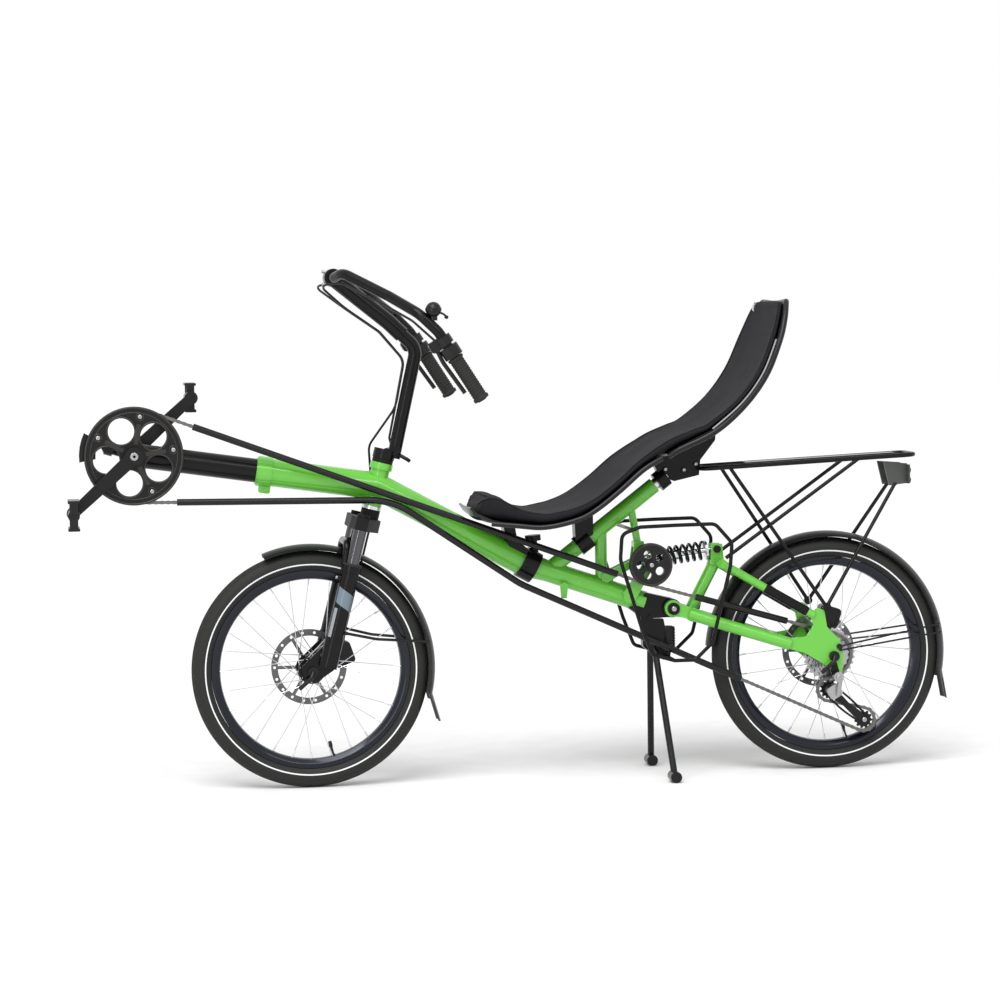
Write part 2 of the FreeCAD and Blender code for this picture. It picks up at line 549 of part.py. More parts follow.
def front_derailleur():
    """Clamp on the post, parallel links and the curved cage round the chain."""
    middle = BOTTOM_BRACKET + POST_RUN * 0.82
    clamp = rod(middle - POST_RUN * 0.14, middle + POST_RUN * 0.14, 15)
    arm = block(middle + at(2, 4, DRIVE * 20), 26, 22, 22, tilt=-20, corner=6)
    link = block(middle + at(10, 12, DRIVE * 33), 34, 6, 14, tilt=-35, corner=5)
    room = rod(BOTTOM_BRACKET, BOTTOM_BRACKET + POST_RUN * 1.2, 11 + d.seat_gap)
    tip = d.chainring_radius + 20
    cage = []
    # columns: place inboard of the chain's line, radius of the plate's lower edge
    for inboard, low_edge in ((7.3, tip - 34), (-7.3, tip - 8)):
        outline = [round_point(BOTTOM_BRACKET, tip, angle) for angle in (-6, 2, 10, 18, 26)]
        outline += [round_point(BOTTOM_BRACKET, low_edge, angle) for angle in (24, 16, 8, 0, -4)]
        cage.append(flat(outline, 1.6, DRIVE * (d.chain_line - inboard)))
    bolt = round_point(BOTTOM_BRACKET, tip - 3, 24)
    bridge = pin(bolt.x, bolt.z, 2.5, DRIVE * (d.chain_line + 8), DRIVE * (d.chain_line - 8))
    hanger_end = round_point(BOTTOM_BRACKET, tip - 26, 14, DRIVE * (d.chain_line - 8))
    hanger = rod(middle + at(12, 14, DRIVE * 31), hanger_end, 4)
    feature("front_derailleur", fuse(fuse(clamp, arm, link).cut(room), hanger, cage, bridge))


PIVOT_NECK = (PIVOT + at(-6, 19), LOWER_END + at(-2, 21), LOWER_END + at(34, -12),
              LOWER_END + at(6, -34), PIVOT + at(2, -20))


def pivot_block():
    """Black block that carries the swingarm's pin under the lower tube's end."""
    half = d.pivot_width / 2
    barrel = pin(PIVOT.x, PIVOT.z, d.pivot_radius, -half, half)
    neck = flat(PIVOT_NECK, 40, 0)
    bolt = LOWER_END + at(-11, -31)
    studs = pin(bolt.x, bolt.z, 6, -24, 24)
    tube_room = rod(LOWER_END, KNEE, d.lower_tube_radius)
    bore = pin(PIVOT.x, PIVOT.z, d.pivot_pin_radius + d.seat_gap, -60, 60)
    feature("pivot_block", fuse(barrel, neck, studs).cut([tube_room, bore]))


# outline of a dropout plate about the rear axle
DROPOUT = (at(106, 38), at(98, 18), at(62, 8), at(18, -24), at(-12, -22), at(-22, 0), at(-14, 34),
           at(14, 62), at(20, 98), at(34, 104), at(50, 92), at(44, 66), at(58, 44))


def swingarm():
    """Rear swingarm: pivot ears, chain stays, centre strut, seat stays and dropouts."""
    half = d.rear_fork_width / 2
    y_rear = half + d.dropout_thickness / 2
    bridge = PIVOT + at(-42, -14)
    stay_top = SHOCK_REAR + at(-4, -29)
    pieces = [rod(bridge + SIDE * -40, bridge + SIDE * 40, 15),
              rod(bridge, SHOCK_REAR + at(2, -30), 13),
              rod(stay_top + SIDE * -(d.stay_top_spread + 10), stay_top + SIDE * (d.stay_top_spread + 10), 10)]
    ear_half = d.pivot_ear_thickness / 2
    for side in (LEFT, RIGHT):
        y_ear = side * (d.pivot_width / 2 + d.seat_gap + ear_half)
        pieces.append(pin(PIVOT.x, PIVOT.z, d.pivot_radius - 2, y_ear - ear_half, y_ear + ear_half))
        pieces.append(flat([PIVOT + at(4, 17), PIVOT + at(-40, 1), PIVOT + at(-48, -24), PIVOT + at(-4, -17)],
                           d.pivot_ear_thickness, y_ear))
        stay_end = REAR_AXLE + at(d.rotor_radius + 14, 28, side * y_rear)
        pieces.append(bent_rod([PIVOT + at(-36, -12, side * 38), PIVOT + at(-86, -29, side * 50), stay_end],
                               d.stay_radius, 120))
        upper_end = REAR_AXLE + at(42, 88, side * y_rear)
        pieces.append(rod(stay_top + SIDE * (side * d.stay_top_spread), upper_end, d.seat_stay_radius))
        outline = list(DROPOUT)
        if side == DRIVE:
            outline[3:5] = [at(8, -26), at(2, -52), at(-16, -52)]
        pieces.append(flat([REAR_AXLE + p for p in outline], d.dropout_thickness, side * y_rear, bends=5))
        pieces.append(flat([SHOCK_REAR + at(-12, 11), SHOCK_REAR + at(11, 11), SHOCK_REAR + at(14, -34),
                            SHOCK_REAR + at(-16, -34)], d.ear_thickness, side * d.ear_side))
    cuts = [pin(REAR_AXLE.x, REAR_AXLE.z, d.axle_radius + d.seat_gap, -120, 120),
            pin(SHOCK_REAR.x, SHOCK_REAR.z, d.shock_pin_radius + d.seat_gap, -40, 40),
            pin(PIVOT.x, PIVOT.z, d.pivot_pin_radius + d.seat_gap, -80, 80)]
    arm = pieces[0]
    for piece in pieces[1:]:
        arm = arm.fuse(piece)
    feature("swingarm", arm.cut(cuts))
    face = d.pivot_width / 2 + d.seat_gap + d.pivot_ear_thickness + d.seat_gap
    feature("pivot_pin", fuse(pin(PIVOT.x, PIVOT.z, d.pivot_pin_radius, -face - 6, face + 6),
                              pin(PIVOT.x, PIVOT.z, d.pivot_pin_radius + 5, face, face + 6),
                              pin(PIVOT.x, PIVOT.z, d.pivot_pin_radius + 5, -face - 6, -face)))


def skewer(label, centre, half_width):
    """A quick-release axle with its nut on the right and its cam lever on the left."""
    face = half_width + d.dropout_thickness
    lever = bent_rod([centre + SIDE * (face + 9), centre + at(5, -12, face + 15),
                      centre + at(30, -34, face + 12)], 4.5, 10)
    feature(label, fuse(pin(centre.x, centre.z, d.axle_radius, -face - 8, face + 8),
                        pin(centre.x, centre.z, 11, face, face + 9),
                        pin(centre.x, centre.z, 11, -face - 9, -face), lever))


def coil(start, end, radius, wire, turns):
    """A coil of half rings that meet at its sides, each in a plane of its own slope."""
    along = (end - start).normalize()
    out = SIDE.cross(along).normalize()
    first = start + along * (wire + d.seat_gap)
    rise = ((end - start).Length - 2 * (wire + d.seat_gap)) / (2 * turns)
    halves = []
    for index in range(2 * turns):
        side = 1 if index % 2 == 0 else -1
        low = first + along * (rise * index) + out * (radius * side)
        high = first + along * (rise * (index + 1)) - out * (radius * side)
        section = Part.Face(Part.Wire(Part.makeCircle(wire, low, SIDE)))
        axis = (low - high).cross(SIDE * side)
        halves.append(section.revolve((low + high) * 0.5, axis, 180))
    return fuse(halves)


def shock():
    """Coil-over damper between the frame's ears and the swingarm's."""
    along = (SHOCK_REAR - SHOCK_FRONT).normalize()
    perch_front = SHOCK_FRONT + along * 30
    perch_rear = SHOCK_REAR - along * 24
    eye_half = d.shock_eye_width / 2
    ends = (SHOCK_FRONT, SHOCK_REAR)
    body = fuse(
        [pin(p.x, p.z, 10, -eye_half, eye_half) for p in ends],
        rod(SHOCK_FRONT, perch_front + along * 62, d.damper_radius),
        rod(SHOCK_FRONT, SHOCK_REAR, d.damper_radius / 2),
        rod(perch_front - along * 5, perch_front, d.spring_radius),
        rod(perch_rear, perch_rear + along * 5, d.spring_radius),
    ).cut([pin(p.x, p.z, d.shock_pin_radius + d.seat_gap, -40, 40) for p in ends])
    feature("shock_damper", body)
    face = d.ear_side + d.ear_thickness / 2 + d.seat_gap
    pins = [fuse(pin(p.x, p.z, d.shock_pin_radius, -face - 3, face + 3), pin(p.x, p.z, 8, face, face + 5),
                 pin(p.x, p.z, 8, -face - 5, -face)) for p in ends]
    feature("shock_pins", Part.makeCompound(pins))
    feature("shock_spring", coil(perch_front, perch_rear, d.spring_radius - d.spring_wire_radius,
                                 d.spring_wire_radius, int(d.spring_turns)))


# ---------------------------------------------------------------- seat

# Stations from the nose to the shoulders, on the underside of the shell.
# columns: x, z, half width, share of the cushion's thickness
SEAT_NOSE = tuple((x, over_down_tube(x) + d.seat_nose_gap + rise, half, share) for x, rise, half, share in (
    (784, 9, 84, 0.4), (774, 0, 104, 1.1), (742, 1, 124, 1.3)))
SEAT_BASE = SEAT_NOSE + (
    (692, 542, 140, 1.3), (632, 537, 152, 1.2), (563, 551, 162, 1), (520, 573, 164, 1),
    (470, 611, 162, 1), (420, 653, 156, 1), (380, 676, 148, 0.8))
SEAT_BACK = (
    (366, 683, 140, 0.8), (342, 697, 148, 1), (268, 732, 156, 1), (205, 786, 162, 1),
    (157, 850, 162, 1), (126, 922, 154, 1), (112, 968, 136, 0.9), (104, 1002, 108, 0.5))


def seat_loft(stations, low, high, inset, even=False):
    """A dished shell through the stations, between two heights above its underside."""
    sections = []
    for index, (x, z, half_width, share) in enumerate(stations):
        before = stations[max(index - 1, 0)]
        after = stations[min(index + 1, len(stations) - 1)]
        run = at(after[0] - before[0], after[1] - before[1]).normalize()
        up = at(run.z, -run.x)
        half = half_width - inset
        lift = up * (d.seat_dish * (half / 160) ** 2)
        top = high if even else low + (high - low) * share
        edges = []
        for height in (low, top):
            middle = at(x, z) + up * height
            edges.append((middle + lift - SIDE * half, middle, middle + lift + SIDE * half))
        (a, b, c), (e, f, g) = edges
        sections.append(Part.Wire([Part.Arc(a, b, c).toShape(), Part.LineSegment(c, g).toShape(),
                                   Part.Arc(g, f, e).toShape(), Part.LineSegment(e, a).toShape()]))
    return Part.makeLoft(sections, True, True)


def seat():
    """Two dished shells, each with its cushion."""
    pad_low = d.shell_thickness + d.soft_gap
    pad_high = pad_low + d.cushion_thickness
    for label, stations in (("seat_base", SEAT_BASE), ("seat_back", SEAT_BACK)):
        feature(label + "_shell", seat_loft(stations, 0, d.shell_thickness, 0, even=True))
    feature("seat_cushion", seat_loft(SEAT_BASE, pad_low, pad_high, d.cushion_inset))
    feature("back_cushion", seat_loft(SEAT_BACK, pad_low, pad_high, d.cushion_inset))


def seat_mounts():
    """Tube clamp and post under the seat's front, ring under its middle, slider and bracket behind."""
    above = fuse(seat_loft(SEAT_BACK, 0, 60, 0, even=True), seat_loft(SEAT_BASE, 0, 60, 0, even=True))
    room = fuse(rod(KNEE, HEAD_KINK, d.down_tube_radius + d.seat_gap),
                Part.makeSphere(d.down_tube_radius + d.seat_gap, KNEE),
                cone(KNEE, SEAT_TUBE_FOOT, d.down_tube_radius + d.seat_gap, d.lower_tube_radius + d.seat_gap),
                rod(SEAT_TUBE_FOOT, SEAT_TUBE_TOP, d.seat_tube_radius + d.seat_gap),
                rod(between(KNEE, LOWER_END, d.strut_x), between(SEAT_TUBE_FOOT, SEAT_TUBE_TOP, d.strut_x),
                    d.strut_radius + d.seat_gap),
                rod(SEAT_TUBE_FOOT, LOWER_END, d.lower_tube_radius + d.seat_gap))
    toward_head = (HEAD_KINK - KNEE).normalize()
    clamp_at = KNEE + at(-9, -3)
    clamp = rod(clamp_at - toward_head * 17, clamp_at + toward_head * 17, d.down_tube_radius + 6)
    post = flat([KNEE + at(13, 18), KNEE + at(35, 37), KNEE + at(49, 88), KNEE + at(23, 88), KNEE + at(17, 52),
                 KNEE + at(-15, 24)], 44, 0)
    bolt = pin(KNEE.x - 3, KNEE.z - 10, 5, -d.down_tube_radius - 9, d.down_tube_radius + 9)
    knob_at = KNEE + at(-24, 20)
    knob = fuse(rod(knob_at, knob_at + at(4, 30), 8), rod(knob_at + at(4, 28), knob_at + at(5, 40), 17))
    feature("seat_front_mount", fuse(clamp, post, bolt, knob).cut([room, above]))
    ring_at = between(SEAT_TUBE_FOOT, SEAT_TUBE_TOP, 527)
    ring = rod(ring_at - SEAT_TUBE_RUN * 16, ring_at + SEAT_TUBE_RUN * 16, d.seat_tube_radius + 5)
    post = flat([ring_at + at(-19, 17), ring_at + at(19, -5), ring_at + at(22, 70), ring_at + at(-19, 90)], 34, 0)
    feature("seat_mid_mount", fuse(ring, post).cut([room, above]))
    slider_end = SEAT_TUBE_TOP + SEAT_TUBE_RUN * d.seat_slider_reach
    feature("seat_slider", rod(SEAT_TUBE_TOP - SEAT_TUBE_RUN * 66, slider_end, d.seat_slider_radius))
    slider_room = rod(SEAT_TUBE_TOP, slider_end + SEAT_TUBE_RUN, d.seat_slider_radius + d.seat_gap)
    holder = rod(SEAT_TUBE_TOP + SEAT_TUBE_RUN * 8, slider_end - SEAT_TUBE_RUN * 2, d.seat_slider_radius + 9)
    top = SEAT_TUBE_TOP
    fin = flat([top + at(-10, 20), top + at(12, 64), top + at(-38, 92), top + at(-104, 120), top + at(-136, 142),
                top + at(-132, 94), top + at(-99, 52), top + at(-96, 20), top + at(-42, 8)], 24, 0)
    tube_room = rod(SEAT_TUBE_FOOT, SEAT_TUBE_TOP + SEAT_TUBE_RUN, d.seat_tube_radius + 1)
    rack_rod = pin(d.rack_front_x, d.rack_front_z, d.rack_rod_radius + d.seat_gap, -30, 30)
    studs = [pin(top.x + x, top.z + z, 5, -17, 17) for x, z in ((-22, 34), (-62, 32), (-88, 44))]
    mount = fuse(holder, fin)
    for tool in (slider_room, tube_room, above, rack_rod):
        mount = mount.cut(tool)
    for stud in studs:
        mount = mount.fuse(stud.cut(slider_room))
    feature("seat_rear_mount", mount)


# ---------------------------------------------------------------- drivetrain

def crankset():
    """Chainring and guard with round windows, cranks on one spindle, and the two pedals."""
    centre = BOTTOM_BRACKET
    guard_in = DRIVE * (d.chain_line + 6.5)
    guard_out = guard_in + DRIVE * d.guard_thickness
    ring = toothed_disc(centre, d.chainring_radius, d.chainring_teeth, DRIVE * d.chain_line, 3)
    guard = pin(centre.x, centre.z, d.guard_radius, guard_in, guard_out)
    spacers, cuts = [], []
    for index in range(5):
        angle = d.arm_angle + 72 * index
        window = round_point(centre, d.window_ring, angle + 36)
        bolt = round_point(centre, d.guard_radius - 20, angle)
        cuts.append(pin(window.x, window.z, d.window_radius, DRIVE * 20, DRIVE * 90))
        cuts.append(pin(bolt.x, bolt.z, 2.5, DRIVE * 20, DRIVE * 90))
        spacers.append(pin(bolt.x, bolt.z, 7, guard_out - DRIVE, DRIVE * d.chain_line))
    boss = pin(centre.x, centre.z, 23, guard_out + DRIVE * 3, DRIVE * (d.bottom_bracket_width / 2 + 5))
    cuts.append(pin(centre.x, centre.z, d.spindle_radius + d.seat_gap, 0, DRIVE * 90))
    cuts.append(pin(centre.x, centre.z, 25, DRIVE * (d.crank_offset - 10), DRIVE * 100))
    feature("chainring", fuse(ring, guard, spacers, boss).cut(cuts))
    slope = math.radians(-d.crank_slope)
    reach = at(math.cos(slope), math.sin(slope)) * d.crank_length
    across = at(-math.sin(slope), math.cos(slope))
    pieces = [pin(centre.x, centre.z, d.spindle_radius, -d.crank_offset, d.crank_offset)]
    half = d.crank_thickness / 2
    for side, label in ((LEFT, "left"), (RIGHT, "right")):
        end = centre + reach * side
        y = side * d.crank_offset
        crank = fuse(pin(centre.x, centre.z, 19, y - half - 2, y + half + 2), pin(end.x, end.z, 14, y - half, y + half),
                     flat([centre + across * 15, end + across * 11, end - across * 11, centre - across * 15],
                          d.crank_thickness, y))
        pieces.append(crank.cut(pin(end.x, end.z, d.pedal_axle_radius, y - 20, y + 20)))
        inner = d.crank_offset + half + d.pedal_gap
        pedal_y = side * (inner + d.pedal_length / 2)
        feature(label + "_pedal_axle", fuse(
            rod(end + SIDE * (side * (d.crank_offset - half)), end + SIDE * (side * (inner + d.pedal_length)),
                d.pedal_axle_radius),
            rod(end + SIDE * (side * (d.crank_offset + half)), end + SIDE * (side * (inner - 6)), 9)))
        feature(label + "_pedal", pedal(end, pedal_y))
    feature("cranks", fuse(pieces))


def pedal(end, y):
    """A cage pedal standing upright: a barrel between two toothed side plates and two end plates."""
    half_long, half_wide = d.pedal_length / 2, d.pedal_width / 2
    thick = d.pedal_thickness
    parts = [pin(end.x, end.z, 12, y - half_long + 1, y + half_long - 1)]
    for side in (-1, 1):
        parts.append(block(at(end.x, end.z + side * (half_wide - 3), y), thick, d.pedal_length, 6, corner=2))
        parts.append(block(at(end.x, end.z, y + side * (half_long - 3)), thick * 0.7, 6, d.pedal_width, corner=5))
        parts.append(block(at(end.x, end.z + side * half_wide / 2, y), thick * 0.5, 10, d.pedal_width / 2))
    bore = pin(end.x, end.z, d.pedal_axle_radius + d.running_gap, y - d.pedal_length, y + d.pedal_length)
    return fuse(parts).cut(bore)


def belt(pulleys):
    """Tangent runs between pulleys given as centre, radius and sense, +1 for counterclockwise."""
    runs = []
    for (a, ra, sa), (b, rb, sb) in zip(pulleys, pulleys[1:] + pulleys[:1]):
        gap = b - a
        angle = math.atan2(gap.z, gap.x) + math.asin((sa * ra - sb * rb) / gap.Length)
        right = at(math.sin(angle), -math.cos(angle))
        runs.append((a + right * (sa * ra), b + right * (sb * rb)))
    return runs


def chain_route():
    """The chain's centre line: its straight runs, and its edges in turn from the chainring's top."""
    lift = d.chain_height / 2 + d.chain_clearance
    bend = d.return_bend
    pulleys = [
        (BOTTOM_BRACKET, d.chainring_radius + lift, 1),
        (IDLER, d.idler_track_radius + lift, -1),
        (REAR_AXLE, d.sprocket_radius + lift, 1),
        (JOCKEY_UPPER, d.jockey_radius + lift, -1),
        (JOCKEY_LOWER, d.jockey_radius + lift, 1),
        (RETURN_REAR + at(-bend * 0.5, bend * 0.86), bend, 1),
        (RETURN_FRONT + at(bend * 0.28, -bend * 0.96), bend, -1),
    ]
    runs = belt(pulleys)
    edges = []
    for index, (start, end) in enumerate(runs):
        centre, radius, sense = pulleys[(index + 1) % len(pulleys)]
        leave = runs[(index + 1) % len(runs)][0]
        first = math.atan2(end.z - centre.z, end.x - centre.x)
        last = math.atan2(leave.z - centre.z, leave.x - centre.x)
        halfway = first + sense * ((last - first) * sense % (2 * math.pi)) / 2
        edges.append(Part.LineSegment(start, end).toShape())
        edges.append(Part.Arc(end, centre + at(math.cos(halfway), math.sin(halfway)) * radius, leave).toShape())
    return runs, edges


def chain():
    """One band along the whole route, over the chainring, under the idler and through the derailleur."""
    path = Part.Wire(chain_route()[1])
    sides = [path.makeOffset2D(d.chain_height / 2), path.makeOffset2D(-d.chain_height / 2)]
    sides.sort(key=lambda wire: wire.BoundBox.XLength)
    band = Part.Face(sides[1]).cut(Part.Face(sides[0]))
    band.translate(SIDE * (DRIVE * d.chain_line - d.chain_width / 2))
    feature("chain", band.extrude(SIDE * d.chain_width))


def chain_tubes():
    """Tubes round the chain: along the power run, ahead of the cassette and along the return run."""
    runs, edges = chain_route()
    shift = SIDE * (DRIVE * d.chain_line)

    def sleeve(path_edges):
        wire = Part.Wire(path_edges)
        start = wire.OrderedVertexes[0].Point
        heading = wire.OrderedVertexes[1].Point - start
        walls = [wire.makePipeShell([Part.Wire(Part.makeCircle(radius, start, heading))], True, False)
                 for radius in (d.chain_tube_radius, d.chain_tube_bore)]
        return walls[0].cut(walls[1])

    tubes = []
    # columns: straight run, distance left bare at its start and at its end
    for number, bare_start, bare_end in ((0, 95, 62), (1, 112, 112)):
        start, end = runs[number]
        heading = (end - start).normalize()
        line = Part.LineSegment(start + heading * bare_start + shift, end - heading * bare_end + shift)
        tubes.append(sleeve([line.toShape()]))
    rear_heading = (runs[4][1] - runs[4][0]).normalize()
    front_heading = (runs[6][1] - runs[6][0]).normalize()
    line = Part.LineSegment(runs[4][0] + rear_heading * 285 + shift, runs[4][1] + shift)
    route = [line.toShape()]
    for piece in edges[9:12]:
        route.append(piece.translated(shift))
    line = Part.LineSegment(runs[6][0] + shift, runs[6][1] - front_heading * 88 + shift)
    route.append(line.toShape())
    tubes.append(sleeve(route))
    feature("chain_tubes", Part.makeCompound(tubes))


def idler():
    """Idler wheel with a deep track and round windows."""
    y = DRIVE * d.chain_line
    flange = d.chain_width / 2 + 0.8
    wheel = fuse(pin(IDLER.x, IDLER.z, d.idler_radius, y - flange - 2, y - flange),
                 pin(IDLER.x, IDLER.z, d.idler_radius, y + flange, y + flange + 2),
                 pin(IDLER.x, IDLER.z, d.idler_track_radius, y - flange - 2, y + flange + 2))
    holes = [pin(IDLER.x, IDLER.z, d.idler_axle_radius + d.running_gap, y - 30, y + 30)]
    for index in range(5):
        spot = round_point(IDLER, 23, 72 * index)
        holes.append(pin(spot.x, spot.z, 9, y - 30, y + 30))
    feature("idler_wheel", wheel.cut(holes))


def rear_derailleur():
    """Knuckle on the hanger, parallel links, cage plates and the two jockey wheels."""
    y = DRIVE * d.chain_line
    upper, lower = JOCKEY_UPPER, JOCKEY_LOWER
    pieces = []
    for point in (upper, lower):
        pieces.append(toothed_disc(point, d.jockey_radius, 11, y, 3))
        pieces.append(pin(point.x, point.z, 7, y - 7.4, y + 7.4))
    along = (lower - upper).normalize()
    across = at(-along.z, along.x)
    for offset in (-6.8, 6.8):
        outline = [upper + across * 12, upper + along * 50 + across * 6, lower + across * 10,
                   lower - across * 10, upper + along * 50 - across * 6, upper - across * 12]
        pieces.append(flat(outline, 2, y + offset))
        pieces.append(pin(upper.x, upper.z, 13, y + offset - 1, y + offset + 1))
        pieces.append(pin(lower.x, lower.z, 11, y + offset - 1, y + offset + 1))
    hanger = REAR_AXLE + at(-7, -44)
    face = DRIVE * (d.rear_fork_width / 2 + d.dropout_thickness + d.seat_gap)
    pieces.append(pin(hanger.x, hanger.z, 11, face, face + DRIVE * 16))
    knuckle = block(at(upper.x - 6, upper.z - 2, y + DRIVE * 19), 30, 22, 28, tilt=30, corner=8)
    links = [rod(at(hanger.x - 4, hanger.z - 4, face + DRIVE * (8 + 5 * step)),
                 at(upper.x - 12, upper.z - 10, y + DRIVE * (26 + 5 * step)), 5)
             for step in (0, 1)]
    feature("rear_derailleur", fuse(pieces, knuckle, links))


# ---------------------------------------------------------------- brakes

def caliper(label, centre, rotor_y, direction, holder):
    """A caliper about a brake disc, from its thin inner half to its thick outer one."""
    angle = math.radians(direction)
    out = at(math.cos(angle), math.sin(angle))
    slot_end = d.rotor_radius + 6
    middle = centre + out * (slot_end - 11) + SIDE * (rotor_y + BRAKE * d.caliper_shift)
    body = block(middle, 46, d.caliper_width, 48, tilt=-direction, corner=9)
    slot = block(centre + out * (slot_end - 50) + SIDE * rotor_y, 100, d.caliper_slot, 90, tilt=-direction)
    cap_y = rotor_y + BRAKE * (d.caliper_shift + d.caliper_width / 2)
    cap = pin(middle.x, middle.z, 13, cap_y - BRAKE, cap_y + BRAKE * 3)
    feature(label, fuse(body.cut(slot), cap).cut(holder))


def front_caliper():
    sliders = [item.Shape for item in sub_parts if item.Label == "fork_sliders"]
    caliper("front_caliper", FRONT_AXLE, BRAKE * (d.front_fork_width / 2 - d.rotor_inset), 161, sliders)


def rear_caliper():
    y_plate = BRAKE * (d.rear_fork_width / 2 + d.dropout_thickness / 2)
    dropout = flat([REAR_AXLE + p for p in DROPOUT], d.dropout_thickness + 2 * d.seat_gap, y_plate)
    caliper("rear_caliper", REAR_AXLE, BRAKE * (d.rear_fork_width / 2 - d.rotor_inset), 108, [dropout])


# ---------------------------------------------------------------- mudguards

def crown_section(radius):
    """The mudguard's crowned section at a radius from the axle, as a face."""
    half, crown, wall = d.mudguard_width / 2, d.mudguard_crown, d.mudguard_thickness
    low = radius - crown
    outer = Part.Arc(Vector(low, -half, 0), Vector(radius, 0, 0), Vector(low, half, 0))
    inner = Part.Arc(Vector(low, half - wall, 0), Vector(radius - wall, 0, 0), Vector(low, wall - half, 0))
    lips = [Part.LineSegment(Vector(low, half, 0), Vector(low, half - wall, 0)),
            Part.LineSegment(Vector(low, wall - half, 0), Vector(low, -half, 0))]
    return Part.Face(Part.Wire([outer.toShape(), lips[0].toShape(), inner.toShape(), lips[1].toShape()]))


def guard_shell(centre, from_degrees, to_degrees):
    """A crowned strip about a wheel, between two angles from straight ahead, upwards."""
    shell = crown_section(MUDGUARD_RADIUS).revolve(Vector(0, 0, 0), SIDE, from_degrees - to_degrees)
    shell.rotate(Vector(0, 0, 0), SIDE, -from_degrees)
    shell.translate(centre)
    return shell


def flap(centre, degrees, lean):
    """A rubber tongue that goes on from the strip's end, leaning outwards."""
    angle = math.radians(lean)
    run = Vector(math.sin(angle), 0, math.cos(angle)) * d.flap_length
    tongue = crown_section(MUDGUARD_RADIUS).extrude(run)
    tongue = tongue.cut([block(Vector(MUDGUARD_RADIUS, side * (d.mudguard_width / 2 + 4), 46), 80, 26, 60)
                         for side in (LEFT, RIGHT)])
    tongue.rotate(Vector(0, 0, 0), SIDE, -degrees)
    tongue.translate(centre)
    return tongue


def rear_mudguard():
    """Strip over the rear wheel with its flap, front bracket and four stays."""
    half = d.mudguard_width / 2 + d.mudguard_stay_radius - 1
    edge = MUDGUARD_RADIUS - d.mudguard_crown + 2
    pieces = [guard_shell(REAR_AXLE, 5, 190), flap(REAR_AXLE, 190, 20)]
    face = d.rear_fork_width / 2 + d.dropout_thickness + d.seat_gap
    for side in (LEFT, RIGHT):
        foot_y = side * (face + d.mudguard_stay_radius)
        for height, degrees in ((20, 167), (12, 171)):
            foot = REAR_AXLE + at(-12, height, foot_y + side * 0.5)
            pieces.append(bent_rod([foot, foot + at(-22, height / 4), round_point(REAR_AXLE, edge, degrees, side * half)],
                                   d.mudguard_stay_radius, 20))
        foot = REAR_AXLE + at(-12, 20, foot_y)
        pieces.append(pin(foot.x, foot.z, 6, side * face, side * (face + 2 * d.mudguard_stay_radius + 1)))
    # bracket from the swingarm's cross tube to the strip's front
    spot = round_point(REAR_AXLE, MUDGUARD_RADIUS + 2, 17)
    pieces.append(block(spot + at(4, 0), 14, 16, 22, tilt=-14))
    feature("rear_mudguard", fuse(pieces))


def front_mudguard():
    """Strip over the front wheel with its flap, crown strap and one stay each side."""
    half = d.mudguard_width / 2 + d.mudguard_stay_radius - 1
    edge = MUDGUARD_RADIUS - d.mudguard_crown + 2
    pieces = [guard_shell(FRONT_AXLE, 68, 193), flap(FRONT_AXLE, 193, 29)]
    back = d.leg_forward - d.slider_radius
    for side in (LEFT, RIGHT):
        root = head(-262, back - 6, side * (d.leg_spacing / 2))
        pieces.append(fuse(rod(root, root + HEAD_FORWARD * 5.5, 4),
                           bent_rod([root, round_point(FRONT_AXLE, 150, 155, side * 50),
                                     round_point(FRONT_AXLE, edge, 168, side * half)], 3, 60)))
    strap_top = head(-d.crown_top - d.crown_thickness - 3, 6)
    strap_low = round_point(FRONT_AXLE, MUDGUARD_RADIUS - 1.5, 111)
    pieces.append(rod(strap_top, strap_low, 6))
    feature("front_mudguard", fuse(pieces))


# ---------------------------------------------------------------- fork and bar

